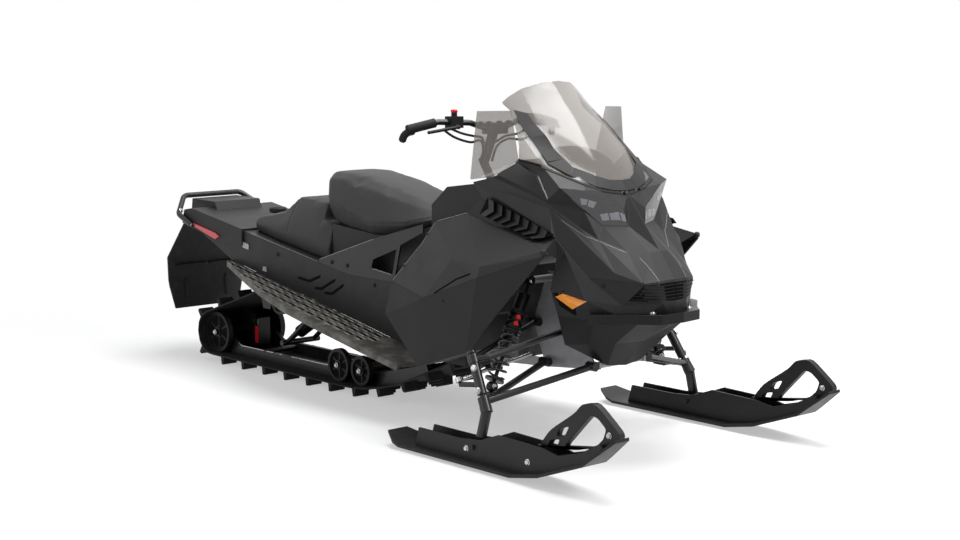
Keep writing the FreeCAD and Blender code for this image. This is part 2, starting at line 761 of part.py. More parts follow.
def seat_support():
    """The triangulated braces that carry the seat over the tunnel."""
    body = new_body("SeatSupportRight")
    side = [
        (-416, tunnel_line(-416)),
        (S.tunnel_kick_x, S.tunnel_top_z),
        (60, S.tunnel_top_z),
        (100, 640),
        (233, 700),
        (233, 731),
        (-52, 654),
        (-416, tunnel_line(-416) + 12),
    ]
    profile = outline(body, "BraceOutline", "XZ_Plane", side, offset=S.tunnel_width / 2 - 7)
    feature(body, "Pad", "Brace", profile, 7)
    window = outline(body, "BraceWindow", "XZ_Plane", [(-78, 536), (50, 522), (76, 622), (-66, 570)])
    feature(body, "Pocket", "Window", window, None, both_sides=True)
    return node(group("SeatSupports", [body, mirrored(body, "SeatSupportLeft")]), "seat_support")


# Front frame, engine, arms and shocks

SHOCK_TOP = Vector(828, -225, 585)
SHOCK_FOOT = Vector(854, -425, 240)


def front_frame():
    """The bulkhead that the front arms and shocks bolt to."""
    plates = [(800, 262), (1066, 289), (1066, 311), (1034, 313), (1010, 360), (960, 445), (880, 606)]
    plates += [(806, 606), (745, 445), (745, 400)]
    half = 110
    gauge = 6
    corners = [Vector(x, half, z) for x, z in plates]
    plate = Part.Face(Part.makePolygon(corners + [corners[0]]))
    solids = []
    for side in (-1, 1):
        start = half if side > 0 else -half - gauge
        flat = plate.extrude(Vector(0, gauge, 0))
        flat.translate(Vector(0, start - half, 0))
        solids.append(flat)
    pivots = [(1046, 300), (815, 284), (950, 422), (765, 422)]
    for along, height in pivots:
        solids.append(rod(Vector(along, -118, height), Vector(along, 118, height), 12))
    reach = -SHOCK_TOP.y - 17 - number(S.running_gap)
    solids.append(rod(Vector(SHOCK_TOP.x, -reach, SHOCK_TOP.z), Vector(SHOCK_TOP.x, reach, SHOCK_TOP.z), 13))
    sill = [(470, 240), (815, 262), (815, 290), (470, 290)]
    corners = [Vector(x, 0, z) for x, z in sill]
    rail = Part.Face(Part.makePolygon(corners + [corners[0]])).extrude(Vector(0, 8, 0))
    for side in (104, -112):
        solids.append(rail.translated(Vector(0, side, 0)))
    frame = solids[0].multiFuse(solids[1:]).removeSplitter()
    return node(solid_feature("FrontFrame", frame), "front_frame")


def engine():
    """The engine as one block at its place ahead of the tunnel."""
    block = DOC.addObject("Part::Box", "Engine")
    bind(block, "Length", 255)
    bind(block, "Width", 380)
    bind(block, "Height", 330)
    block.Placement = Placement(Vector(number(S.tunnel_front_x) + 10, -190, 290.3), Rotation())
    return node(block, "engine")


def kingpin():
    """Lower ball joint, upper ball joint and the direction between them, on the right."""
    low = Vector(number(S.ball_low_x), -number(S.ball_low_y), number(S.ball_low_z))
    high = Vector(number(S.ball_high_x), -number(S.ball_high_y), number(S.ball_high_z))
    axis = high.sub(low)
    axis.normalize()
    return low, high, axis


def arm(eye_centre, axis, corners, roots, radius):
    """An arm with two legs on a yoke, whose eye takes the kingpin's pin."""
    half = number(S.arm_eye_height) / 2
    bore_radius = number(S.ball_pin + S.running_gap)
    foot = eye_centre.sub(axis * half)
    parts = [Part.makeCylinder(number(S.arm_eye), 2 * half, foot, axis)]
    for corner, root in zip(corners, roots):
        parts.append(rod(corner, root, radius))
        if corner != eye_centre:
            parts.append(rod(eye_centre, corner, radius))
            parts.append(Part.makeSphere(number(radius), corner))
        parts.append(rod(root.sub(Vector(20, 0, 0)), root.add(Vector(20, 0, 0)), number(radius) + 4))
    whole = parts[0].multiFuse(parts[1:])
    bore = Part.makeCylinder(bore_radius, 4 * half, foot.sub(axis * half), axis)
    return whole.cut(bore).removeSplitter()


def control_arms():
    """Upper and lower arms of both sides."""
    low, high, axis = kingpin()
    lower_roots = [Vector(1046, -134.5, 300), Vector(815, -134.5, 284)]
    upper_roots = [Vector(950, -133.5, 422), Vector(765, -133.5, 422)]
    yoke = [high.add(Vector(42, 30, 10)), high.add(Vector(-40, 30, -8))]
    lower = arm(low, axis, [low, low], lower_roots, S.lower_arm_tube)
    upper = arm(high, axis, yoke, upper_roots, S.upper_arm_tube)
    cup = SHOCK_FOOT.add(Vector(0, 0, -17.5 - number(S.running_gap)))
    bracket = Part.makeBox(54, 34, 12, cup.sub(Vector(14, 17, 12)))
    lower = lower.fuse(bracket).removeSplitter()
    right = solid_feature("ArmsRight", Part.makeCompound([lower, upper]))
    return node(group("ControlArms", [right, mirrored(right, "ArmsLeft")]), "control_arms")


def front_shocks():
    """The dampers of the front suspension."""
    run = SHOCK_TOP.sub(SHOCK_FOOT)
    axis = Vector(run)
    axis.normalize()
    parts = [
        Part.makeCylinder(7, run.Length - 30, SHOCK_FOOT.add(axis * 15), axis),
        Part.makeCylinder(number(S.shock_body), 150, SHOCK_FOOT.add(axis * 195), axis),
        Part.makeCylinder(number(S.spring_radius) + 5, 8, SHOCK_FOOT.add(axis * 22), axis),
        Part.makeCylinder(17, 24, SHOCK_FOOT.sub(Vector(12, 0, 0)), Vector(1, 0, 0)),
        Part.makeCylinder(17, 24, SHOCK_TOP.sub(Vector(12, 0, 0)), Vector(1, 0, 0)),
    ]
    right = solid_feature("ShockRight", parts[0].multiFuse(parts[1:]).removeSplitter())
    return node(group("FrontShocks", [right, mirrored(right, "ShockLeft")]), "front_shocks")


def front_springs():
    """The coil springs round the front dampers."""
    run = SHOCK_TOP.sub(SHOCK_FOOT)
    axis = Vector(run)
    axis.normalize()
    wire = number(S.spring_wire)
    height = 160
    base = SHOCK_FOOT.add(axis * (30 + wire + number(S.running_gap)))
    helix = Part.makeHelix(26, height, number(S.spring_radius))
    ring = Part.Wire(Part.makeCircle(wire, Vector(number(S.spring_radius), 0, 0), Vector(0, 1, 0)))
    coil = Part.Wire(helix).makePipeShell([ring], True, True)
    coil.Placement = Placement(base, Rotation(Vector(0, 0, 1), axis))
    right = solid_feature("SpringRight", coil)
    return node(group("FrontSprings", [right, mirrored(right, "SpringLeft")]), "front_springs")


# Track, slide rails and their wheels


def pulleys():
    """Circles that the belt's inner face runs round, in order, each a centre and a radius."""
    ease = 2.2
    floor = number(S.track_lug) + number(S.track_belt)
    rear = number(S.rear_wheel_radius) + ease
    front = number(S.approach_radius)
    return [
        (number(S.rear_axle_x), floor + rear, rear),
        (number(S.track_flat_front), floor + front, front),
        (number(S.drive_axle_x), number(S.drive_axle_z), number(S.sprocket_radius) + ease),
        (number(S.carrier_x), number(S.carrier_z), number(S.carrier_radius) + ease),
    ]


def tangent(first, second):
    """Where the straight run leaves one circle and meets the next, going anticlockwise."""
    gap_x = second[0] - first[0]
    gap_z = second[1] - first[1]
    span = math.hypot(gap_x, gap_z)
    heading = math.atan2(gap_z, gap_x)
    side = heading - math.pi / 2 + math.asin((first[2] - second[2]) / span)
    normal = (math.cos(side), math.sin(side))
    start = (first[0] + first[2] * normal[0], first[1] + first[2] * normal[1])
    end = (second[0] + second[2] * normal[0], second[1] + second[2] * normal[1])
    return start, end, side


class BeltLine:
    """The closed line of the belt's inner face, walked by its length."""

    def __init__(self):
        circles = pulleys()
        runs = [tangent(circles[i], circles[(i + 1) % len(circles)]) for i in range(len(circles))]
        self.pieces = []
        for place, circle in enumerate(circles):
            arrive = runs[place - 1][2]
            leave = runs[place][2]
            while leave < arrive:
                leave += 2 * math.pi
            sweep = leave - arrive
            self.pieces.append(("arc", circle, arrive, sweep, circle[2] * sweep))
            start, end, side = runs[place]
            length = math.hypot(end[0] - start[0], end[1] - start[1])
            self.pieces.append(("run", start, end, side, length))
        self.length = sum(piece[4] for piece in self.pieces)

    def at(self, distance):
        """Place and outward direction at a distance along the line."""
        rest = distance % self.length
        for piece in self.pieces:
            if rest <= piece[4]:
                break
            rest -= piece[4]
        if piece[0] == "arc":
            circle = piece[1]
            angle = piece[2] + rest / circle[2]
            out = (math.cos(angle), math.sin(angle))
            return (circle[0] + circle[2] * out[0], circle[1] + circle[2] * out[1]), out
        share = rest / piece[4]
        spot = tuple(piece[1][k] + share * (piece[2][k] - piece[1][k]) for k in (0, 1))
        return spot, (math.cos(piece[3]), math.sin(piece[3]))


def track():
    """The rubber track: a belt with staggered rows of lugs, one closed loop."""
    line = BeltLine()
    rows = int(number(S.track_pitches))
    half = number(S.track_width) / 2
    belt = number(S.track_belt)
    tall = belt + number(S.track_lug)
    pitch = line.length / rows
    lug_foot = 11
    lug_tip = 7
    bands = [(-half, -120, 0), (-120, -45, 1), (-45, 45, 0), (45, 120, 1), (120, half, 0)]

    def point(distance, height, across):
        spot, out = line.at(distance)
        return Vector(spot[0] + out[0] * height, across, spot[1] + out[1] * height)

    solids = []
    for low, high, parity in bands:
        outer = []
        inner = []
        for row in range(rows):
            middle = (row + 0.5) * pitch
            outer.append(point(row * pitch, belt, low))
            inner.append(point(row * pitch, 0, low))
            inner.append(point(middle, 0, low))
            if row % 2 == parity:
                outer.append(point(middle - lug_foot, belt, low))
                spot, out = line.at(middle)
                top = Vector(spot[0] + out[0] * tall, low, spot[1] + out[1] * tall)
                along = Vector(-out[1], 0, out[0]) * lug_tip
                outer.append(top.sub(along))
                outer.append(top.add(along))
                outer.append(point(middle + lug_foot, belt, low))
            else:
                outer.append(point(middle, belt, low))
        loops = [Part.makePolygon(outer + [outer[0]]), Part.makePolygon(inner + [inner[0]])]
        face = Part.makeFace(Part.makeCompound(loops), "Part::FaceMakerBullseye")
        solids.append(face.extrude(Vector(0, high - low, 0)))
    belt_solid = solids[0].multiFuse(solids[1:])
    return node(solid_feature("Track", belt_solid.removeSplitter()), "track")


def rail_side():
    """Side outline of a slide rail: its bottom lies along the belt and turns up at the front."""
    gap = number(S.running_gap) + 0.3
    floor = number(S.track_lug) + number(S.track_belt) + gap
    flat = number(S.track_flat_front)
    bend = number(S.approach_radius) - gap
    centre_z = floor + bend
    nose = math.radians(22)
    half_nose = nose / 2
    start = Vector(flat, 0, floor)
    middle = Vector(flat + bend * math.sin(half_nose), 0, centre_z - bend * math.cos(half_nose))
    end = Vector(flat + bend * math.sin(nose), 0, centre_z - bend * math.cos(nose))
    rear = number(S.rear_axle_x)
    top = [
        Vector(end.x + 45, 0, end.z + 30),
        Vector(end.x + 30, 0, end.z + 60),
        Vector(end.x - 40, 0, end.z + 36),
        Vector(flat + 90, 0, floor + 46),
        Vector(rear + 130, 0, floor + 42),
        Vector(rear + 60, 0, floor + 90),
        Vector(rear - 22, 0, floor + 110),
        Vector(rear - 30, 0, floor + 60),
        Vector(rear + 60, 0, floor),
    ]
    edges = [Part.LineSegment(top[-1], start).toShape(), Part.Arc(start, middle, end).toShape()]
    edges.append(Part.LineSegment(end, top[0]).toShape())
    edges += [Part.LineSegment(a, b).toShape() for a, b in zip(top, top[1:])]
    return Part.Wire(edges)


def skid_rails():
    """The two slide rails and the cross tubes that join them."""
    gauge = number(S.rail_gauge)
    spread = number(S.rail_spread)
    plate = Part.Face(rail_side()).extrude(Vector(0, gauge, 0))
    floor = number(S.track_lug) + number(S.track_belt)
    solids = [plate.translated(Vector(0, side * spread - gauge / 2, 0)) for side in (-1, 1)]
    for along, height in [(-60, floor + 54), (-560, floor + 24), (-1000, floor + 24)]:
        solids.append(rod(Vector(along, -spread, height), Vector(along, spread, height), 11))
    rails = solids[0].multiFuse(solids[1:])
    axle = rod(rear_axle(-1), rear_axle(1), S.axle_radius)
    return node(solid_feature("SkidRails", rails.cut(axle).removeSplitter()), "skid_rails")


def rear_axle(side):
    """End of the rear idler axle on one side."""
    circles = pulleys()
    return Vector(circles[0][0], side * 165, circles[0][1])


def wheel(along, across, height, radius, axle):
    """A spoked idler wheel with its rubber rim, turned round an axle."""
    width = number(S.wheel_width)
    start = Vector(along, across - width / 2, height)
    out = Vector(0, 1, 0)
    rim = Part.makeCylinder(radius, width, start, out)
    web = Part.makeCylinder(radius - 12, width, start, out)
    web = web.cut(Part.makeCylinder(radius - 12, 8, start.add(Vector(0, width / 2 - 4, 0)), out))
    hub = Part.makeCylinder(axle + 10, width, start, out)
    bore = Part.makeCylinder(axle, width, start, out)
    return rim.cut(web).fuse(hub).cut(bore).removeSplitter()


def rear_idlers():
    """The rear axle with its three large wheels."""
    circles = pulleys()
    axle = number(S.axle_radius)
    radius = number(S.rear_wheel_radius)
    parts = [rod(rear_axle(-1), rear_axle(1), axle)]
    for across in (-140, 0, 140):
        parts.append(wheel(circles[0][0], across, circles[0][1], radius, axle))
    whole = parts[0].multiFuse(parts[1:])
    return node(solid_feature("RearIdlers", whole.removeSplitter()), "rear_idlers")


def rail_wheels():
    """Two pairs of wheels outside the rails, each on its own axle, and the carrier wheels."""
    line = pulleys()
    floor = number(S.track_lug) + number(S.track_belt) + number(S.running_gap)
    axle = number(S.axle_radius) - 2
    groups = []
    bend = number(S.approach_radius)
    for along, radius in [
        (number(S.front_wheel_x), number(S.front_wheel_radius)),
        (number(S.small_wheel_x), number(S.small_wheel_radius)),
    ]:
        past = max(0.0, along - number(S.track_flat_front))
        height = floor + radius + past * past / (2 * bend) + 1
        shaft = rod(Vector(along, -165, height), Vector(along, 165, height), axle)
        whole = shaft
        for across in (-146, 146):
            whole = whole.fuse(wheel(along, across, height, radius, axle))
        groups.append(whole.removeSplitter())
    carrier = line[3]
    wide = number(S.tunnel_width) / 2 - number(S.tunnel_gauge)
    shaft = rod(Vector(carrier[0], -wide, carrier[1]), Vector(carrier[0], wide, carrier[1]), axle)
    for across in (-130, 130):
        shaft = shaft.fuse(wheel(carrier[0], across, carrier[1], number(S.carrier_radius), axle))
    groups.append(shaft.removeSplitter())
    return node(solid_feature("RailWheels", Part.makeCompound(groups)), "rail_wheels")


def drive_axle():
    """The drive shaft and its sprockets at the front of the track."""
    along = number(S.drive_axle_x)
    height = number(S.drive_axle_z)
    wide = number(S.tunnel_width) / 2 - number(S.tunnel_gauge)
    whole = rod(Vector(along, -wide, height), Vector(along, wide, height), 17)
    for across in (-70, 70):
        start = Vector(along, across - 20, height)
        whole = whole.fuse(Part.makeCylinder(number(S.sprocket_radius), 40, start, Vector(0, 1, 0)))
    return node(solid_feature("DriveAxle", whole.removeSplitter()), "drive_axle")


def skid_arms():
    """The front and rear swing arms that hang the rails from the tunnel."""
    wide = number(S.tunnel_width) / 2 - number(S.tunnel_gauge)
    floor = number(S.track_lug) + number(S.track_belt)
    inner = number(S.rail_spread) - number(S.rail_gauge) / 2
    front_top = Vector(60, 0, 330)
    front_foot = Vector(-60, 0, floor + 54)
    arms = []
    for top, foot, legs in [(front_top, front_foot, 80), (Vector(-560, 0, 330), Vector(-830, 0, 100), 70)]:
        bar = rod(top.add(Vector(0, -wide, 0)), top.add(Vector(0, wide, 0)), 13)
        for side in (-1, 1):
            shift = Vector(0, side * legs, 0)
            bar = bar.fuse(rod(top.add(shift), foot.add(shift).add(Vector(0, 0, 26)), 10))
        reach = inner - 2
        low = foot.add(Vector(0, 0, 26))
        bar = bar.fuse(rod(low.add(Vector(0, -reach, 0)), low.add(Vector(0, reach, 0)), 12))
        arms.append(bar.removeSplitter())
    return node(solid_feature("SkidArms", Part.makeCompound(arms)), "skid_arms")


def skid_shocks():
    """The damper inside the track and the coupling block behind it."""
    top = Vector(-600, 0, 300)
    foot = Vector(-905, 0, 120)
    axis = top.sub(foot)
    axis.normalize()
    damper = rod(foot, top, 9)
    damper = damper.fuse(Part.makeCylinder(27, 150, foot.add(axis * 90), axis))
    block = Part.makeBox(34, 60, 118, Vector(-1130, -30, 75))
    return node(solid_feature("SkidShocks", Part.makeCompound([damper.removeSplitter(), block])), "skid_shocks")


# Steering, spindles and skis


def handlebar():
    """Column, riser and the bent bar."""
    axis = column_axis()
    foot = COLUMN_TOP.sub(axis * 340)
    clamp = Vector(407, 0, 1088)
    column = rod(foot, COLUMN_TOP.add(axis * 30), S.column_radius)
    riser = rod(COLUMN_TOP.add(axis * 12), clamp.add(Vector(0, 0, 6)), 19)
    half = [Vector(407, 40, 1088), BAR_INNER, BAR_BEND, bar_end()]
    path = [Vector(p.x, -p.y, p.z) for p in reversed(half)] + half
    bar = bent_tube(path, 40, S.bar_radius)
    block = Part.makeBox(46, 90, 40, clamp.sub(Vector(23, 45, 20)))
    whole = column.multiFuse([riser, bar, block])
    return node(solid_feature("Handlebar", whole.removeSplitter()), "handlebar")


BAR_BEND = Vector(374, 250, 1118)
BAR_INNER = Vector(400, 120, 1112)


def bar_end():
    """Left end of the bar's tube."""
    return Vector(346, number(S.bar_half) - 4, 1094)


def grips():
    """The rubber grips over the bar's ends."""
    run = bar_end().sub(BAR_BEND)
    run.normalize()
    tip = bar_end().add(run * 4)
    start = tip.sub(run * number(S.grip_length))
    room = S.bar_radius + S.running_gap
    grip = rod(start, tip, S.grip_radius)
    grip = grip.cut(rod(start.sub(run * 5), bar_end().add(run * number(S.running_gap)), room))
    left = solid_feature("GripLeft", grip)
    return node(group("Grips", [left, mirrored(left, "GripRight")]), "grips")


def controls():
    """Switch housings and levers on both sides of the bar, the stop switch on the right."""
    spot = Vector(388, 185, 1115)
    housing = Part.makeBox(44, 52, 42, spot.sub(Vector(22, 26, 20)))
    lever = rod(Vector(434, 205, 1100), Vector(412, 330, 1084), 6)
    link = rod(Vector(402, 195, 1104), Vector(434, 205, 1100), 8)
    tip = Part.makeSphere(8, Vector(434, 205, 1100))
    button = Part.makeCylinder(11, 18, Vector(388, 185, 1136), Vector(0, 0, 1))
    room = rod(BAR_INNER, BAR_BEND, S.bar_radius + S.running_gap)
    plain = housing.multiFuse([lever, link, tip]).cut(room).removeSplitter()
    left = solid_feature("ControlsLeft", plain)
    right = solid_feature("ControlsRight", plain.fuse(button).removeSplitter().mirror(Vector(), Vector(0, 1, 0)))
    return node(group("Controls", [left, right]), "controls")


def ski_bolt():
    """Middle of the right ski's pivot bolt."""
    return Vector(number(S.ski_bolt_x), -number(S.ski_stance) / 2, number(S.ski_bolt_z))


def spindle():
    """The steering spindle: pins through both arm eyes, a shank between, a leg to the ski."""
    low, high, axis = kingpin()
    half = number(S.arm_eye_height) / 2
    step = half + number(S.running_gap)
    neck = 10
    shank = rod(low.add(axis * (step + neck)), high.sub(axis * step), 17)
    pins = rod(low.sub(axis * (step + 6)), high.add(axis * (step + neck)), S.ball_pin)
    cap = Part.makeCylinder(15, 8, high.add(axis * (step + 5)), axis)
    knee = low.sub(axis * step)
    collar = Part.makeCylinder(21, 22, knee, axis * -1)
    bolt = ski_bolt()
    shoulder = knee.sub(axis * 16)
    leg = rod(shoulder, bolt.add(Vector(0, 0, 28)), 18)
    eye = Part.makeCylinder(22, 50, bolt.sub(Vector(0, 25, 0)), Vector(0, 1, 0))
    bore = Part.makeCylinder(number(S.ski_bolt_radius + S.running_gap), 60, bolt.sub(Vector(0, 30, 0)), Vector(0, 1, 0))
    root = low.add(axis * 62)
    pin_spot = tie_pin()
    steer_arm = rod(root, pin_spot.sub(axis * 16), 9)
    tie_pin_rod = rod(pin_spot.sub(axis * 20), pin_spot.add(axis * 13), 6)
    whole = shank.multiFuse([pins, cap, collar, leg, eye, steer_arm, tie_pin_rod]).cut(bore)
    return whole.removeSplitter()


def tie_pin():
    """Middle of the right tie rod's outer ball joint."""
    return Vector(775, -504, 262)


def spindles():
    right = node(solid_feature("SpindleRight", spindle()), "spindle_right")
    node(mirrored(right, "SpindleLeft"), "spindle_left")


def tie_rods():
    """The bright rods from the spindles' arms to the middle of the frame."""
    low, high, axis = kingpin()
    pin_spot = tie_pin()
    inner = Vector(800, -190, 318)
    eye = Part.makeCylinder(14, 16, pin_spot.sub(axis * 8), axis)
    bar = rod(pin_spot, inner, S.tie_rod_radius)
    whole = eye.fuse(bar)
    whole = whole.cut(Part.makeCylinder(6 + number(S.running_gap), 60, pin_spot.sub(axis * 30), axis))
    right = node(solid_feature("TieRodRight", whole.removeSplitter()), "tie_rod_right")
    node(mirrored(right, "TieRodLeft"), "tie_rod_left")


def ski():
    """A ski: blade with a turned-up tip, keel, two upright ribs and the pivot bolt."""
    middle = -number(S.ski_stance) / 2
    wide = number(S.ski_width)
    plate = number(S.ski_plate)
    keel = number(S.ski_keel)
    tip = number(S.ski_tip_x)
    tail = number(S.ski_tail_x)
    under = [(tail, 40), (tail + 90, keel), (tip - 430, keel), (tip - 300, keel + 24), (tip - 120, 98), (tip, 192)]
    over = [(x - 2, z + plate) for x, z in reversed(under)]
    side = [Vector(x, middle - wide / 2, z) for x, z in under + over]
    blade = Part.Face(Part.makePolygon(side + [side[0]])).extrude(Vector(0, wide, 0))
    plan = [
        (tail - 5, 42), (tail + 60, wide / 2), (tip - 320, wide / 2), (tip - 90, 52), (tip + 5, 30),
    ]
    edge = [Vector(x, middle + y, -10) for x, y in plan] + [Vector(x, middle - y, -10) for x, y in reversed(plan)]
    window = Part.Face(Part.makePolygon(edge + [edge[0]])).extrude(Vector(0, 0, 400))
    blade = blade.common(window)
    keel_side = [(tail + 140, 2 * keel), (tail + 180, 0), (tip - 470, 0), (tip - 400, 2 * keel)]
    corners = [Vector(x, middle - 14, z) for x, z in keel_side]
    bar = Part.Face(Part.makePolygon(corners + [corners[0]])).extrude(Vector(0, 28, 0))
    whole = blade.fuse(bar)
    rib_top = [
        (tail + 140, 18), (tail + 160, 86), (tail + 370, 86), (tail + 470, 94), (tail + 560, 128),
        (tail + 770, 122), (tail + 840, 110), (tip - 150, 135), (tip - 60, 180), (tip - 50, 168),
        (tip - 120, 104), (tip - 300, 38), (tip - 430, 18),
    ]
    gap = number(S.ski_rib_gap) / 2
    gauge = number(S.ski_rib)
    for side_y in (gap, -gap - gauge):
        corners = [Vector(x, middle + side_y, z) for x, z in rib_top]
        whole = whole.fuse(Part.Face(Part.makePolygon(corners + [corners[0]])).extrude(Vector(0, gauge, 0)))
    bolt = ski_bolt()
    span = gap + gauge + 8
    whole = whole.fuse(rod(bolt.sub(Vector(0, span, 0)), bolt.add(Vector(0, span, 0)), S.ski_bolt_radius))
    return whole.removeSplitter()


def ski_loop():
    """The carrying loop over a ski's tip, on two cross bars between the ribs."""
    middle = -number(S.ski_stance) / 2
    tip = number(S.ski_tip_x)
    outer = [(1215, 120), (1268, 179), (1364, 235), (1404, 282), (1468, 298), (tip - 8, 222), (tip - 52, 160)]
    inner = [(1500, 168), (1504, 214), (1458, 269), (1411, 248), (1372, 200), (1290, 140), (1240, 112)]
    side = [Vector(x, middle - 13, z) for x, z in outer + inner]
    loop = Part.Face(Part.makePolygon(side + [side[0]])).extrude(Vector(0, 26, 0))
    reach = number(S.ski_rib_gap) / 2 - number(S.running_gap)
    for along, height in [(1228, 114), (1504, 166)]:
        loop = loop.fuse(rod(Vector(along, middle - reach, height), Vector(along, middle + reach, height), 8))
    return loop.removeSplitter()


def skis():
    right = node(solid_feature("SkiRight", ski()), "ski_right")
    node(mirrored(right, "SkiLeft"), "ski_left")
    loop = ski_loop().cut(ski())
    right_loop = node(solid_feature("SkiLoopRight", loop), "ski_loop_right")
    node(mirrored(right_loop, "SkiLoopLeft"), "ski_loop_left")


# Windscreen, deflectors and small pieces


def windshield():
    """The tall smoked screen, bowed across and flared at its top."""
    rows = [
        [(1080, 0, 890), (1060, 85, 904), (1030, 165, 931), (905, 238, 985), (811, 262, 1002)],
        [(1010, 0, 990), (985, 90, 998), (930, 165, 1010), (850, 225, 1040), (800, 250, 1050)],
        [(900, 0, 1110), (880, 90, 1110), (840, 160, 1105), (790, 205, 1100), (760, 225, 1100)],
        [(800, 0, 1200), (782, 80, 1198), (745, 140, 1190), (700, 175, 1180), (680, 185, 1175)],
        [(736, 0, 1269), (722, 75, 1262), (690, 135, 1243), (665, 175, 1215), (655, 195, 1196)],
    ]
    loops = []
    for low, high in zip(rows, rows[1:]):
        for place in range(len(low) - 1):
            loops.append([low[place], low[place + 1], high[place + 1], high[place]])
    return node(skin("Windshield", loops, share=0.988, whole=True), "windshield")


def wind_deflectors():
    """The clear side deflectors in front of the grips, each on the hood's upper edge."""
    loops = [[(612, 302, 927), WINDOW_REAR, TRIM_TOP, (786, 272, 1166), (664, 318, 1162)]]
    right = skin("DeflectorRight", loops, share=1.012)
    return node(group("Deflectors", [right, mirrored(right, "DeflectorLeft")]), "wind_deflectors")


def front_bumper():
    """The moulded bumper under the grille."""
    body = new_body("FrontBumper")
    front = [(1146, 262), (1186, 250), (1268, 150), (1330, 95), (1341, 0)]
    back = [(1303.5, 0), (1300.5, 34), (1281.5, 94), (1256, 131.5), (1233, 156), (1151, 250.5)]
    whole = front + [(x, -y) for x, y in reversed(front[:-1])] + [(x, -y) for x, y in reversed(back)] + back[1:]
    profile = outline(body, "BumperPlan", "XY_Plane", whole, offset=474)
    feature(body, "Pad", "Bar", profile, 34)
    return node(body, "front_bumper")


def side_reflectors():
    """The amber reflector on each side of the nose."""
    corners = (SKIRT_REAR, SKIRT_FRONT, HOUSING_FRONT)
    shares = [(0.80, 0.12, 0.08), (0.40, 0.56, 0.04), (0.05, 0.86, 0.09), (0.35, 0.40, 0.25)]
    loops = [[blend(corners, weights) for weights in shares]]
    right = skin("ReflectorRight", loops, share=1.012)
    return node(group("Reflectors", [right, mirrored(right, "ReflectorLeft")]), "side_reflectors")


def gauge():
    """The instrument behind the windscreen, leaning to the rider."""
    body = new_body("Gauge")
    side = [(570, 905.3), (605, 905.3), (640, 985), (612, 985)]
    profile = outline(body, "GaugeOutline", "XZ_Plane", side)
    feature(body, "Pad", "Case", profile, 170, both_sides=True)
    return node(body, "gauge")


def build():
    """Makes every sub-part in order."""
    tunnel()
    running_boards()
    tail_panel()
    tail_lights()
    snow_flap()
    rear_bumper()
    cargo_seat()
    rider_seat()
    seat_support()
    console()
    hood()
    headlamps()
    nose_cowl()
    belly_pan()
    side_panels()
    vent_panels()
    footwells()
    windshield()
    wind_deflectors()
    front_bumper()
    side_reflectors()
    gauge()
    engine()
    front_frame()
    control_arms()
    front_shocks()
    front_springs()
    track()
    skid_rails()
    rear_idlers()
    rail_wheels()
    drive_axle()
    skid_arms()
    skid_shocks()
    handlebar()
    grips()
    controls()
    spindles()
    tie_rods()
    skis()


def check_document():
    """Stops on any failed object, and on any node without a valid solid."""
    for item in DOC.Objects:
        if "Invalid" in item.State or "Error" in item.State:
            raise RuntimeError(item.Name + " failed: " + ", ".join(item.State))
    for item in NODES:
        shape = item.Shape
        if shape.isNull() or not shape.isValid() or not shape.Solids:
            raise RuntimeError(item.Label + " has no valid solid")


def export_nodes():
    """Writes each node to its own STEP file."""
    os.makedirs("parts", exist_ok=True)
    for item in NODES:
        item.Shape.exportStep(os.path.join("parts", item.Label + ".step"))


build()
DOC.recompute()
check_document()
export_nodes()
print(len(NODES), "nodes written")
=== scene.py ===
"""Looks of the snowmobile: finishes, soft seats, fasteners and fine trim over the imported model."""

from __future__ import annotations

import logging
import math
from dataclasses import dataclass
from enum import Enum

import bmesh
import bpy
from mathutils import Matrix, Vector
from mathutils.bvhtree import BVHTree

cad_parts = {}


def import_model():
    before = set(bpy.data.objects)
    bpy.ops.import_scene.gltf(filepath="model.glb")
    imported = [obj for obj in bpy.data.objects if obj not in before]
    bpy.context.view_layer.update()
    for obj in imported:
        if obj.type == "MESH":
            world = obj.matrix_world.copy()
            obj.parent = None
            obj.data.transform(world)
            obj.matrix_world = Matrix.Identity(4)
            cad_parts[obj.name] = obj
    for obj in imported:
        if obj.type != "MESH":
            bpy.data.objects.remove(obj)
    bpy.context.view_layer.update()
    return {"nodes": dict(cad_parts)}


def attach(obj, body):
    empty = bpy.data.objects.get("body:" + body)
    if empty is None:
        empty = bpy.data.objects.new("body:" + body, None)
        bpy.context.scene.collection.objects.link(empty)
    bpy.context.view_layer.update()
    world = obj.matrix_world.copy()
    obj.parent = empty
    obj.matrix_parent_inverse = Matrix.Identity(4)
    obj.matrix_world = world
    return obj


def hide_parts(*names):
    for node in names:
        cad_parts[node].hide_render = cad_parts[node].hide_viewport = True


LOG = logging.getLogger("snowmobile")
MILLIMETRE = 0.001
Pair = tuple[float, float]
Place = tuple[float, float, float]
Line = tuple[Place, ...]


def linear(colour: str) -> tuple[float, float, float, float]:
    """Turn an sRGB hex colour into linear light.

    Args:
        colour: Six hex digits with a leading number sign.

    Returns:
        Red, green, blue and an alpha of one.
    """
    channels = [int(colour[place:place + 2], 16) / 255 for place in (1, 3, 5)]
    light = [c / 12.92 if c <= 0.04045 else ((c + 0.055) / 1.055) ** 2.4 for c in channels]
    return (light[0], light[1], light[2], 1.0)


def per_metre(size_mm: float) -> float:
    """Return the pattern scale that repeats once in a size given in millimetres."""
    return 1 / (size_mm * MILLIMETRE)


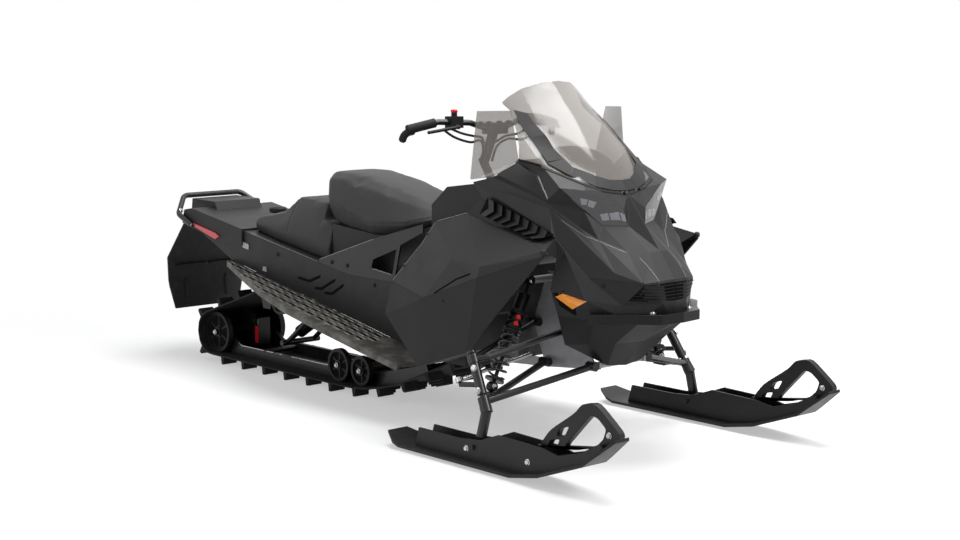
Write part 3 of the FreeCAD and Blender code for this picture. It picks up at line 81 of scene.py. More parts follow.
def add_node(
    tree: bpy.types.NodeTree,
    kind: str,
    settings: dict | None = None,
    links: dict | None = None,
) -> bpy.types.Node:
    """Add one node with its settings and links.

    Args:
        tree: The node tree that takes the node.
        kind: The node's type name.
        settings: Values for its properties, or for its inputs by name or number.
        links: Output sockets to join to its inputs, by name or number.

    Returns:
        The new node.
    """
    made = tree.nodes.new(kind)
    for key, value in (settings or {}).items():
        if isinstance(key, str) and hasattr(made, key):
            setattr(made, key, value)
        else:
            made.inputs[key].default_value = value
    for key, socket in (links or {}).items():
        tree.links.new(socket, made.inputs[key])
    return made


def blank_material(name: str) -> tuple[bpy.types.Material, bpy.types.NodeTree]:
    """Make a material with an empty node tree.

    Args:
        name: The finish's name.

    Returns:
        The material and its tree.
    """
    material = bpy.data.materials.new(name)
    material.use_nodes = True
    material.node_tree.nodes.clear()
    return material, material.node_tree


def two_tone_skin(
    tree: bpy.types.NodeTree,
    tones: tuple[str, str],
    share: bpy.types.NodeSocket,
    relief: tuple[bpy.types.NodeSocket, float, float],
    settings: dict,
    links: dict | None = None,
) -> None:
    """Close a material with a shader that blends two tones over a relief.

    Args:
        tree: The material's tree.
        tones: The hex colours where the share is nought and where it is one.
        share: The share of the second tone.
        relief: The pattern read as height, its strength and its depth in millimetres.
        settings: The shader's own values.
        links: The shader's other links.
    """
    mix = {"data_type": "RGBA", 6: linear(tones[0]), 7: linear(tones[1])}
    tint = add_node(tree, "ShaderNodeMix", mix, {0: share})
    height, strength, depth_mm = relief
    rise = {"Strength": strength, "Distance": depth_mm * MILLIMETRE}
    bump = add_node(tree, "ShaderNodeBump", rise, {"Height": height})
    joined = {"Base Color": tint.outputs[2], "Normal": bump.outputs[0], **(links or {})}
    shader = add_node(tree, "ShaderNodeBsdfPrincipled", settings, joined)
    add_node(tree, "ShaderNodeOutputMaterial", links={"Surface": shader.outputs[0]})


def seen_directly(tree: bpy.types.NodeTree) -> bpy.types.Node:
    """Add the mask that is one where a surface is seen plainly, mirrored or through a sheet.

    Args:
        tree: The node tree that takes the nodes.

    Returns:
        The node whose first output is the mask.
    """
    ray = add_node(tree, "ShaderNodeLightPath")
    plain = add_node(
        tree,
        "ShaderNodeMath",
        {"operation": "MAXIMUM"},
        {0: ray.outputs["Is Camera Ray"], 1: ray.outputs["Is Transmission Ray"]},
    )
    return add_node(
        tree,
        "ShaderNodeMath",
        {"operation": "MAXIMUM"},
        {0: plain.outputs[0], 1: ray.outputs["Is Glossy Ray"]},
    )


@dataclass(frozen=True)
class Moulded:
    """A plastic piece from a textured mould, such as ABS or polypropylene; the same finish also carries the
    painted shade of recesses and the painted highlights of edges.
    """

    name: str
    colour: str
    worn: str
    roughness: float
    grain_mm: float
    grain_depth: float
    ior: float = 1.5

    def material(self) -> bpy.types.Material:
        """Build the finish: fine mould grain, cloudy sheen and paler rubbed patches."""
        material, tree = blank_material(self.name)
        place = add_node(tree, "ShaderNodeTexCoord").outputs["Object"]
        # Mould grain is finer than the picture shows, so it is drawn a few millimetres wide
        grain = add_node(
            tree,
            "ShaderNodeTexVoronoi",
            {"Scale": per_metre(self.grain_mm), "feature": "SMOOTH_F1"},
            {"Vector": place},
        )
        clouds = add_node(
            tree,
            "ShaderNodeTexNoise",
            {"Scale": per_metre(180), "Detail": 5.0, "Roughness": 0.6},
            {"Vector": place},
        )
        sheen = add_node(
            tree,
            "ShaderNodeMapRange",
            {
                "From Min": 0.3,
                "From Max": 0.7,
                "To Min": self.roughness - 0.06,
                "To Max": self.roughness + 0.08,
            },
            {"Value": clouds.outputs[0]},
        )
        relief = (grain.outputs["Distance"], self.grain_depth, 0.4)
        links = {"Roughness": sheen.outputs[0]}
        two_tone_skin(tree, (self.colour, self.worn), clouds.outputs[0], relief, {"IOR": self.ior}, links)
        return material


@dataclass(frozen=True)
class Metal:
    """A bare or coated metal piece: tube, casting, extrusion or plated rod."""

    name: str
    colour: str
    second: str
    roughness: float
    metallic: float
    texture_mm: float
    texture_depth: float
    coat: float = 0.0
    gleam: float = 0.3

    def material(self) -> bpy.types.Material:
        """Build the finish: orange peel or casting skin, with patches of a second tone."""
        material, tree = blank_material(self.name)
        place = add_node(tree, "ShaderNodeTexCoord").outputs["Object"]
        # Orange peel and casting grit, drawn a little coarser than they are so that they show
        skin = add_node(
            tree,
            "ShaderNodeTexNoise",
            {"Scale": per_metre(self.texture_mm), "Detail": 3.0},
            {"Vector": place},
        )
        patches = add_node(
            tree,
            "ShaderNodeTexNoise",
            {"Scale": per_metre(60), "Detail": 6.0, "Roughness": 0.65},
            {"Vector": place},
        )
        share = add_node(
            tree,
            "ShaderNodeMapRange",
            {"From Min": 0.42, "From Max": 0.68},
            {"Value": patches.outputs[0]},
        )
        relief = (skin.outputs[0], self.texture_depth, 0.5)
        settings = {
            "Metallic": self.metallic,
            "Roughness": self.roughness,
            "Coat Weight": self.coat,
            "Specular IOR Level": self.gleam,
        }
        two_tone_skin(tree, (self.colour, self.second), share.outputs[0], relief, settings)
        return material


@dataclass(frozen=True)
class Rubber:
    """Vulcanised rubber with talc-grey dust in its low places."""

    name: str
    colour: str
    dust: str
    roughness: float
    grain_mm: float

    def material(self) -> bpy.types.Material:
        """Build the finish: a matt, finely pitted skin with dusty patches."""
        material, tree = blank_material(self.name)
        place = add_node(tree, "ShaderNodeTexCoord").outputs["Object"]
        # The pits are drawn coarser than real ones, so that they break up the light
        pits = add_node(
            tree,
            "ShaderNodeTexNoise",
            {"Scale": per_metre(self.grain_mm), "Detail": 8.0, "Roughness": 0.7},
            {"Vector": place},
        )
        dust = add_node(
            tree,
            "ShaderNodeTexNoise",
            {"Scale": per_metre(45), "Detail": 7.0, "Roughness": 0.6},
            {"Vector": place},
        )
        share = add_node(
            tree,
            "ShaderNodeMapRange",
            {"From Min": 0.5, "From Max": 0.75},
            {"Value": dust.outputs[0]},
        )
        relief = (pits.outputs[0], 0.35, 0.8)
        settings = {"Roughness": self.roughness, "IOR": 1.30}
        two_tone_skin(tree, (self.colour, self.dust), share.outputs[0], relief, settings)
        return material


@dataclass(frozen=True)
class Vinyl:
    """Coated marine vinyl, embossed with a leather grain, stretched over foam."""

    name: str
    colour: str
    valley_shade: str
    roughness: float
    grain_mm: float

    def material(self) -> bpy.types.Material:
        """Build the finish: embossed cells with painted shade in their valleys, and a soft sheen."""
        material, tree = blank_material(self.name)
        place = add_node(tree, "ShaderNodeTexCoord").outputs["Object"]
        # The grain's cells are drawn about twice as wide as real ones, so that they show
        cells = add_node(
            tree,
            "ShaderNodeTexVoronoi",
            {"Scale": per_metre(self.grain_mm), "feature": "DISTANCE_TO_EDGE"},
            {"Vector": place},
        )
        # Painted shade: the cell edges, the valleys of the grain, take the darker tone
        valley = add_node(
            tree,
            "ShaderNodeMapRange",
            {"From Min": 0.0, "From Max": 0.12},
            {"Value": cells.outputs["Distance"]},
        )
        relief = (valley.outputs[0], 0.3, 0.6)
        settings = {"Roughness": self.roughness, "IOR": 1.35, "Sheen Weight": 0.04}
        two_tone_skin(tree, (self.valley_shade, self.colour), valley.outputs[0], relief, settings)
        return material


@dataclass(frozen=True)
class SmokedSheet:
    """Smoke-tinted polycarbonate sheet, clear enough to see through."""

    name: str
    colour: str
    alpha: float

    def material(self) -> bpy.types.Material:
        """Build the finish: a tinted see-through skin with sharp reflections and faint haze."""
        material, tree = blank_material(self.name)
        place = add_node(tree, "ShaderNodeTexCoord").outputs["Object"]
        haze = add_node(
            tree,
            "ShaderNodeTexNoise",
            {"Scale": per_metre(220), "Detail": 3.0},
            {"Vector": place},
        )
        gloss = add_node(
            tree,
            "ShaderNodeMapRange",
            {"To Min": 0.06, "To Max": 0.16},
            {"Value": haze.outputs[0]},
        )
        shader = add_node(
            tree,
            "ShaderNodeBsdfPrincipled",
            {"Base Color": linear(self.colour), "Alpha": self.alpha, "IOR": 1.58},
            {"Roughness": gloss.outputs[0]},
        )
        add_node(tree, "ShaderNodeOutputMaterial", links={"Surface": shader.outputs[0]})
        return material


@dataclass(frozen=True)
class Lens:
    """A moulded lens in coloured polycarbonate with a prism pattern inside."""

    name: str
    colour: str
    deep: str
    prism_mm: float
    roughness: float

    def material(self) -> bpy.types.Material:
        """Build the finish: a glossy skin over small prisms of a deeper tone."""
        material, tree = blank_material(self.name)
        place = add_node(tree, "ShaderNodeTexCoord").outputs["Object"]
        prisms = add_node(
            tree,
            "ShaderNodeTexVoronoi",
            {"Scale": per_metre(self.prism_mm), "distance": "CHEBYCHEV", "Randomness": 0.0},
            {"Vector": place},
        )
        depth = prisms.outputs["Distance"]
        settings = {"Roughness": self.roughness, "IOR": 1.58, "Coat Weight": 0.6, "Coat Roughness": 0.04}
        two_tone_skin(tree, (self.colour, self.deep), depth, (depth, 0.12, 0.6), settings)
        return material


class Surface(Enum):
    """The finishes of the machine, each under the name of the real one."""

    # Polypropylene panels: satin, with a fine mould grain that greys the highlights
    PANEL = Moulded("moulded_polypropylene_panel", "#1C1C1D", "#232324", 0.46, 3.0, 0.10, 1.30)
    DARK_PANEL = Moulded("moulded_polypropylene_dark", "#121213", "#181819", 0.5, 3.0, 0.12, 1.28)
    # Gloss ABS: the bumper's skin mirrors the white surround as one hard streak
    GLOSS = Moulded("gloss_abs", "#060607", "#0A0A0B", 0.30, 4.0, 0.02, 1.32)
    # Polyethylene skis: waxy and cloudy, scuffed paler
    SKI = Moulded("uhmw_polyethylene_ski", "#141415", "#1D1D1E", 0.42, 5.0, 0.10, 1.32)
    # Glass-filled nylon: dull, with a rough skin where the fibres lie near it
    WHEEL = Moulded("glass_filled_nylon_wheel", "#111112", "#19191A", 0.52, 3.0, 0.15, 1.30)
    # Powder coat: black with orange peel that ripples the highlights
    FRAME = Metal("black_powder_coat", "#131314", "#1A1A1B", 0.36, 0.0, 4.0, 0.15, 0.15)
    # Anodised sheet: an even satin black with a faint metal glow
    TUNNEL = Metal("black_anodised_aluminium", "#1A1A1B", "#232324", 0.46, 0.2, 2.5, 0.06)
    # Extruded boards: the tread wears the black off down to grey metal
    BOARD = Metal("worn_anodised_extrusion", "#3C3B39", "#6A6762", 0.42, 0.5, 6.0, 0.30)
    # The lips that boots rub bare: brighter and smoother than the boards
    BOARD_LIP = Metal("rubbed_bare_extrusion", "#6E6B66", "#8A8780", 0.36, 0.7, 3.0, 0.2)
    # Painted steel: a flat light grey, the palest metal in the nose; its grey is lifted above the steel's own
    # tone as painted light, since these parts stand in shade
    BULKHEAD = Metal("grey_steel_with_painted_light", "#98989A", "#A4A4A6", 0.45, 0.2, 4.0, 0.10)
    # Sand casting: a gritty skin that scatters the light
    CAST = Metal("sand_cast_aluminium", "#5B5B5C", "#6D6D6E", 0.55, 0.8, 1.6, 0.5)
    # Zinc plate: a cool mirror, clouded here and there
    BRIGHT = Metal("zinc_plated_steel", "#B9BABD", "#9FA0A3", 0.26, 1.0, 3.0, 0.05)
    # Anodised tube: black with one long soft highlight
    SHOCK = Metal("black_anodised_shock_body", "#19191A", "#202021", 0.30, 0.5, 3.0, 0.05)
    # Coated spring wire: wet-looking black that glints on every coil
    SPRING = Metal("gloss_coated_spring_steel", "#101011", "#161617", 0.22, 0.0, 3.0, 0.03, 0.4)
    # Red anodising: a clear strong red with metal under it
    RED_PART = Metal("red_anodised_adjuster", "#D6202A", "#BC1822", 0.32, 0.3, 3.0, 0.05)
    # Vulcanised rubbers: matt black, greyed where dust settles
    TRACK = Rubber("vulcanised_track_rubber", "#161616", "#2E2D2B", 0.72, 3.0)
    FLAP = Rubber("moulded_flap_rubber", "#1D1D1E", "#2A2A2A", 0.6, 4.0)
    GRIP = Rubber("soft_grip_rubber", "#141414", "#1E1E1E", 0.68, 2.0)
    # Seat vinyl: a soft dark grey on top with a leather grain, and a smoother darker skirt
    SEAT = Vinyl("embossed_seat_vinyl", "#2A2A2B", "#1F1F20", 0.58, 4.0)
    SEAT_SKIRT = Vinyl("smooth_seat_skirt_vinyl", "#151516", "#101011", 0.52, 3.0)
    # Smoked sheet: greys what is behind it and keeps sharp reflections
    SCREEN = SmokedSheet("smoked_polycarbonate", "#7A746E", 0.52)
    # Unlit lamps: a near-black cover over frosted cells
    LAMP = Lens("dark_lamp_cover", "#1E1E21", "#111113", 14.0, 0.26)
    LAMP_CELL = Lens("frosted_lamp_cell", "#747479", "#4E4E53", 5.0, 0.3)
    # Painted shade: a matt near-black laid on recesses and openings that the light hardly reaches
    SHADE = Moulded("painted_recess_shade", "#070708", "#0B0B0B", 0.8, 4.0, 0.05, 1.15)
    # Extruded seal: a thin matt black line
    SEAL = Rubber("window_seal_rubber", "#0C0C0D", "#141414", 0.6, 3.0)
    # Painted highlight: pale strips laid along creases and edges, where the light catches them
    EDGE_HIGHLIGHT = Moulded("painted_edge_highlight", "#6A6A6C", "#828284", 0.36, 2.0, 0.05)
    # Coloured lenses: small prisms that deepen the colour in a grid
    RED_LENS = Lens("red_tail_lens", "#C0151B", "#8E0F14", 6.0, 0.35)
    AMBER_LENS = Lens("amber_reflector", "#EE9422", "#D47A12", 3.0, 0.14)


class Paintbox:
    """Makes each finish once and puts it on pieces."""

    def __init__(self) -> None:
        """Start with no materials made."""
        self.made: dict[Surface, bpy.types.Material] = {}

    def get(self, surface: Surface) -> bpy.types.Material:
        """Return a finish's material, making it the first time.

        Args:
            surface: The finish.

        Returns:
            Its material.
        """
        if surface not in self.made:
            self.made[surface] = surface.value.material()
        return self.made[surface]

    def coat(self, piece: bpy.types.Object, surface: Surface) -> None:
        """Give a whole piece one finish."""
        piece.data.materials.clear()
        piece.data.materials.append(self.get(surface))


@dataclass
class PhotoCamera:
    """The camera that took the photograph, as fitted to the machine."""

    place: Place = (5.078, -4.308, 1.427)
    azimuth: float = 47.82
    elevation: float = 7.79
    lens: float = 64.18
    sensor: float = 36.0

    def build(self) -> None:
        """Make the camera and use it for the scene."""
        data = bpy.data.cameras.new("photo_camera")
        data.lens = self.lens
        data.sensor_width = self.sensor
        data.clip_end = 200
        camera = bpy.data.objects.new("photo_camera", data)
        turn = math.radians(self.azimuth)
        drop = math.radians(self.elevation)
        look = Vector((-math.sin(turn) * math.cos(drop), math.cos(turn) * math.cos(drop), -math.sin(drop)))
        camera.location = self.place
        camera.rotation_euler = look.to_track_quat("-Z", "Y").to_euler()
        bpy.context.scene.collection.objects.link(camera)
        bpy.context.scene.camera = camera
        LOG.info("camera placed")


@dataclass
class Stage:
    """A pale floor that fades into a white surround."""

    reach: float = 40.0
    # How far the floor lies under the track and the skis, so that it doesn't cut them
    drop_mm: float = 1.5
    # The floor is plain white from this radius on, and starts to fade at a share of it
    shadow_radius: float = 3.2
    fade_share: float = 0.55
    least_white: float = 0.45
    white: str = "#FFFFFF"
    floor_colour: str = "#E9E9E9"
    sky_colour: str = "#F4F6FA"
    sky_strength: float = 0.42

    def build(self) -> None:
        """Make the floor and the world behind it."""
        self.floor()
        self.world()
        LOG.info("stage set")

    def floor(self) -> None:
        """Make the floor, which keeps the shadow near the machine and is plain white further out."""
        mesh = bpy.data.meshes.new("floor")
        half = self.reach
        corners = [(-half, -half, 0), (half, -half, 0), (half, half, 0), (-half, half, 0)]
        mesh.from_pydata(corners, [], [(0, 1, 2, 3)])
        floor = bpy.data.objects.new("floor", mesh)
        floor.location.z = -self.drop_mm * MILLIMETRE
        bpy.context.scene.collection.objects.link(floor)
        material, tree = blank_material("pale_floor")
        place = add_node(tree, "ShaderNodeTexCoord").outputs["Object"]
        distance = add_node(tree, "ShaderNodeVectorMath", {"operation": "LENGTH"}, {0: place})
        fade = add_node(
            tree,
            "ShaderNodeMapRange",
            {
                "From Min": self.shadow_radius * self.fade_share,
                "From Max": self.shadow_radius,
                "To Min": self.least_white,
                "To Max": 1.0,
            },
            {"Value": distance.outputs["Value"]},
        )
        shown = seen_directly(tree)
        share = add_node(
            tree, "ShaderNodeMath", {"operation": "MULTIPLY"}, {0: fade.outputs[0], 1: shown.outputs[0]}
        )
        matt = add_node(tree, "ShaderNodeBsdfDiffuse", {"Color": linear(self.floor_colour)})
        glow = add_node(tree, "ShaderNodeEmission", {"Color": linear(self.white), "Strength": 1.0})
        mixed = add_node(
            tree, "ShaderNodeMixShader", links={0: share.outputs[0], 1: matt.outputs[0], 2: glow.outputs[0]}
        )
        add_node(tree, "ShaderNodeOutputMaterial", links={"Surface": mixed.outputs[0]})
        mesh.materials.append(material)

    def world(self) -> None:
        """Make the surround: white where it is seen, a soft even light elsewhere."""
        world = bpy.data.worlds.new("studio")
        world.use_nodes = True
        tree = world.node_tree
        tree.nodes.clear()
        seen = seen_directly(tree)
        sky = {"Color": linear(self.sky_colour), "Strength": self.sky_strength}
        soft = add_node(tree, "ShaderNodeBackground", sky)
        bright = add_node(tree, "ShaderNodeBackground", {"Color": linear(self.white), "Strength": 1.0})
        mixed = add_node(
            tree, "ShaderNodeMixShader", links={0: seen.outputs[0], 1: soft.outputs[0], 2: bright.outputs[0]}
        )
        add_node(tree, "ShaderNodeOutputWorld", links={"Surface": mixed.outputs[0]})
        bpy.context.scene.world = world


@dataclass
class SoftBox:
    """One square studio lamp that looks at a point of the machine."""

    name: str
    place: Place
    target: Place
    side: float
    power: float

    def build(self) -> None:
        """Hang the lamp and aim it."""
        data = bpy.data.lights.new(self.name, "AREA")
        data.shape = "SQUARE"
        data.size = self.side
        data.energy = self.power
        lamp = bpy.data.objects.new(self.name, data)
        lamp.location = self.place
        aim = Vector(self.target) - Vector(self.place)
        lamp.rotation_euler = aim.to_track_quat("-Z", "Y").to_euler()
        bpy.context.scene.collection.objects.link(lamp)


def crease_group() -> bpy.types.NodeTree:
    """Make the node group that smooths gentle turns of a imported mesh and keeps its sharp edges.

    Returns:
        The geometry node group.
    """
    group = bpy.data.node_groups.new("smooth_gentle_turns", "GeometryNodeTree")
    group.interface.new_socket("Geometry", in_out="INPUT", socket_type="NodeSocketGeometry")
    group.interface.new_socket("Geometry", in_out="OUTPUT", socket_type="NodeSocketGeometry")
    start = add_node(group, "NodeGroupInput")
    welded = add_node(
        group, "GeometryNodeMergeByDistance", {"Distance": 0.02 * MILLIMETRE}, {"Geometry": start.outputs[0]}
    )
    bare = add_node(
        group, "GeometryNodeRemoveAttribute", {"Name": "custom_normal"}, {"Geometry": welded.outputs[0]}
    )
    soft = add_node(group, "GeometryNodeSetShadeSmooth", links={"Geometry": bare.outputs[0]})
    angle = add_node(group, "GeometryNodeInputMeshEdgeAngle")
    steep = add_node(
        group,
        "FunctionNodeCompare",
        {"operation": "GREATER_THAN", 1: math.radians(NodeDresser.SHARP_DEGREES)},
        {0: angle.outputs[0]},
    )
    edged = add_node(
        group,
        "GeometryNodeSetShadeSmooth",
        {"domain": "EDGE", "Shade Smooth": False},
        {"Geometry": soft.outputs[0], "Selection": steep.outputs[0]},
    )
    add_node(group, "NodeGroupOutput", links={0: edged.outputs[0]})
    return group


def round_edges(
    piece: bpy.types.Object, name: str, radius_mm: float, sharp_degrees: float = 50.0, segments: int = 2
) -> bpy.types.BevelModifier:
    """Round the sharp edges of a piece.

    Args:
        piece: The piece or node.
        name: The modifier's name.
        radius_mm: The radius of the round.
        sharp_degrees: The turn from which an edge is sharp.
        segments: How many faces make the round.

    Returns:
        The modifier.
    """
    edge = piece.modifiers.new(name, "BEVEL")
    edge.width = radius_mm * MILLIMETRE
    edge.segments = segments
    edge.limit_method = "ANGLE"
    edge.angle_limit = math.radians(sharp_degrees)
    return edge


class NodeDresser:
    """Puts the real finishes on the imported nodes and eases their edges."""

    SHARP_DEGREES = 46.0
    PANEL_SHARP_DEGREES = 8.0
    # Each finish with its nodes and its edge radius in millimetres, as its mould, bend or saw leaves it
    DRESS: tuple[tuple[Surface, float, str], ...] = (
        (Surface.PANEL, 1.8, "hood nose_cowl side_panel_right side_panel_left console tail_panel"),
        (Surface.DARK_PANEL, 1.4, "belly_pan vent_panels footwell_right footwell_left gauge controls"),
        (Surface.GLOSS, 2.5, "front_bumper"),
        (Surface.SKI, 1.6, "ski_right ski_left ski_loop_right ski_loop_left"),
        (Surface.WHEEL, 0.8, "rear_idlers rail_wheels drive_axle"),
        (Surface.FRAME, 0.8, "rear_bumper seat_support control_arms handlebar"),
        (Surface.FRAME, 0.8, "spindle_right spindle_left skid_rails skid_arms"),
        (Surface.TUNNEL, 0.8, "tunnel"),
        (Surface.BOARD, 0.8, "running_boards"),
        # Painted light: the front frame's grey is lifted above its own tone, since it stands in shade
        (Surface.BULKHEAD, 0.6, "front_frame"),
        (Surface.CAST, 3.0, "engine"),
        (Surface.BRIGHT, 0.5, "tie_rod_right tie_rod_left"),
        (Surface.SHOCK, 0.7, "front_shocks skid_shocks"),
        (Surface.SPRING, 0.0, "front_springs"),
        (Surface.TRACK, 1.0, "track"),
        (Surface.FLAP, 1.2, "snow_flap"),
        (Surface.GRIP, 1.2, "grips"),
        (Surface.SEAT, 0.0, "rider_seat cargo_seat"),
        (Surface.SCREEN, 0.0, "windshield wind_deflectors"),
        (Surface.LAMP, 1.0, "headlamps"),
        (Surface.RED_LENS, 0.8, "tail_lights"),
        (Surface.AMBER_LENS, 0.8, "side_reflectors"),
    )
    # The finishes whose folded panels keep even their gentle folds
    FACETED = (Surface.PANEL, Surface.DARK_PANEL, Surface.GLOSS, Surface.LAMP)

    def __init__(self, nodes: dict[str, bpy.types.Object], paints: Paintbox) -> None:
        """Keep the nodes and the finishes."""
        self.nodes = nodes
        self.paints = paints

    def build(self) -> None:
        """Coat every node and round its sharp edges."""
        group = crease_group()
        for surface, radius_mm, names in self.DRESS:
            for name in names.split():
                node = self.nodes[name]
                self.paints.coat(node, surface)
                node.modifiers.new("smooth", "NODES").node_group = group
                if radius_mm:
                    sharp = self.PANEL_SHARP_DEGREES if surface in self.FACETED else self.SHARP_DEGREES
                    round_edges(node, "edge", radius_mm, sharp).harden_normals = True
        LOG.info("nodes coated")


class Hides:
    """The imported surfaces, for seating small pieces on them."""

    # Where a shell's inside lies: at a share of a place's own length, on the middle plane, at one height
    CORE_SHARE = 0.55
    CORE_HEIGHT = 470.0

    def __init__(self, nodes: dict[str, bpy.types.Object]) -> None:
        """Keep the nodes, with no search tree made yet."""
        self.nodes = nodes
        self.trees: dict[str, BVHTree] = {}

    def seat(self, node: str, near: Place, outward: float = 0.0) -> tuple[Vector, Vector]:
        """Find where a node's surface comes nearest to a place.

        Args:
            node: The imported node.
            near: The place in millimetres.
            outward: How far outside a shell the search starts, in millimetres, so that it
                finds the outer skin.

        Returns:
            The point on the surface in metres, and the surface's outward direction there.
        """
        if near[1] > 0:
            node = node.replace("_right", "_left")
        if node not in self.trees:
            mesh = self.nodes[node].data
            corners = [corner.co for corner in mesh.vertices]
            faces = [tuple(face.vertices) for face in mesh.polygons]
            self.trees[node] = BVHTree.FromPolygons(corners, faces)
        start = Vector(near)
        if outward:
            core = Vector((near[0] * self.CORE_SHARE, 0, self.CORE_HEIGHT))
            start += (start - core).normalized() * outward
        point, normal, _, _ = self.trees[node].find_nearest(start * MILLIMETRE)
        return point, normal.normalized()


# From this turn on, the edge between two faces of a made piece stays sharp
SHARP_TURN_DEGREES = 38


def show(name: str, shape: bmesh.types.BMesh, body: str, finish: bpy.types.Material) -> bpy.types.Object:
    """Turn a finished shape into a piece that rides a body.

    Args:
        name: The piece's name.
        shape: Its mesh, in metres.
        body: The body that carries it.
        finish: Its material.

    Returns:
        The piece.
    """
    bmesh.ops.recalc_face_normals(shape, faces=shape.faces)
    mesh = bpy.data.meshes.new(name)
    shape.to_mesh(mesh)
    shape.free()
    mesh.polygons.foreach_set("use_smooth", [True] * len(mesh.polygons))
    mesh.set_sharp_from_angle(angle=math.radians(SHARP_TURN_DEGREES))
    mesh.materials.append(finish)
    piece = bpy.data.objects.new(name, mesh)
    bpy.context.scene.collection.objects.link(piece)
    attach(piece, body)
    LOG.info("%s: %d faces", name, len(mesh.polygons))
    return piece


def both_sides(place: Place) -> list[Place]:
    """Return a place and its mirror image, or the place alone on the middle plane."""
    across = place[1]
    return [place] if across == 0 else [place, (place[0], -across, place[2])]


def mirrored(line: Line) -> Line:
    """Return a line of places on the machine's other side."""
    return tuple((x, -y, z) for x, y, z in line)


def loft(shape: bmesh.types.BMesh, rings: list[list[Vector]]) -> None:
    """Skin a mesh over neighbouring rings and close both ends.

    Args:
        shape: The mesh that takes the skin.
        rings: The rings' places in metres, with the same count in each.
    """
    made = [[shape.verts.new(place) for place in ring] for ring in rings]
    for first, second in zip(made, made[1:]):
        for step in range(len(first)):
            after = (step + 1) % len(first)
            shape.faces.new((first[step], first[after], second[after], second[step]))
    shape.faces.new(list(reversed(made[0])))
    shape.faces.new(made[-1])


@dataclass(frozen=True)
class Turning:
    """A shape turned about an axis, from pairs of radius and height in millimetres."""

    profile: tuple[Pair, ...]
    sides: int
    hollow: bool = False

    def add(self, shape: bmesh.types.BMesh, foot: Vector, axis: Vector) -> None:
        """Add the turned shape to a mesh.

        Args:
            shape: The mesh that takes it.
            foot: Where the axis starts, in metres.
            axis: The axis's direction.
        """
        side = axis.orthogonal().normalized()
        other = axis.cross(side)
        rings: list[list[bmesh.types.BMVert]] = []
        turns = [2 * math.pi * step / self.sides for step in range(self.sides)]
        for radius, height in self.profile:
            centre = foot + axis * (height * MILLIMETRE)
            if radius == 0:
                rings.append([shape.verts.new(centre)])
                continue
            reach = radius * MILLIMETRE
            spokes = [(side * math.cos(turn) + other * math.sin(turn)) * reach for turn in turns]
            rings.append([shape.verts.new(centre + spoke) for spoke in spokes])
        pairs = list(zip(rings, rings[1:]))
        if self.hollow:
            pairs.append((rings[-1], rings[0]))
        for lower, upper in pairs:
            self.bridge(shape, lower, upper)

    def bridge(
        self,
        shape: bmesh.types.BMesh,
        lower: list[bmesh.types.BMVert],
        upper: list[bmesh.types.BMVert],
    ) -> None:
        """Join two neighbouring rings, either of which may be a single point."""
        for step in range(self.sides):
            after = (step + 1) % self.sides
            ring = [lower[step % len(lower)], lower[after % len(lower)]]
            ring += [upper[after % len(upper)], upper[step % len(upper)]]
            corners = list(dict.fromkeys(ring))
            if len(corners) > 2:
                shape.faces.new(corners)


@dataclass(frozen=True)
class Fastener:
    """A screw head on its washer, by the radius of the head in millimetres."""

    radius: float
    hexagon: bool = False

    def add(self, shape: bmesh.types.BMesh, foot: Vector, axis: Vector) -> None:
        """Add the washer and the head to a mesh.

        Args:
            shape: The mesh that takes them.
            foot: The middle of the seat, in metres.
            axis: The way the head points.
        """
        r = self.radius
        washer = ((0, -1.0), (r * 1.35, -1.0), (r * 1.35, r * 0.1), (r * 1.25, r * 0.16), (0, r * 0.16))
        Turning(washer, 24).add(shape, foot, axis)
        low = r * 0.14
        if self.hexagon:
            head = ((0, low), (r * 1.08, low), (r * 1.08, r * 0.62), (r * 0.95, r * 0.75), (0, r * 0.75))
            Turning(head, 6).add(shape, foot, axis)
            return
        crown = ((0, low), (r, low), (r, r * 0.3), (r * 0.86, r * 0.52), (r * 0.55, r * 0.62))
        socket = ((r * 0.46, r * 0.62), (r * 0.42, r * 0.3), (0, r * 0.3))
        Turning(crown + socket, 18).add(shape, foot, axis)


@dataclass
class FastenerSet:
    """Like fasteners on one body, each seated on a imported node."""

    name: str
    finish: Surface
    kind: Fastener
    spots: tuple[tuple[str, Place], ...]
    mirrored: bool = True
    body: str = "chassis"
    along: Place | None = None

    def build(self, hides: Hides, paints: Paintbox) -> None:
        """Seat every fastener and show them as one piece."""
        shape = bmesh.new()
        for node, place in self.spots:
            for spot in both_sides(place) if self.mirrored else [place]:
                point, normal = hides.seat(node, spot)
                if self.along is not None:
                    normal = Vector(self.along).normalized()
                    normal.y = math.copysign(normal.y, spot[1]) if self.mirrored else normal.y
                self.kind.add(shape, point, normal)
        show(self.name, shape, self.body, paints.get(self.finish))


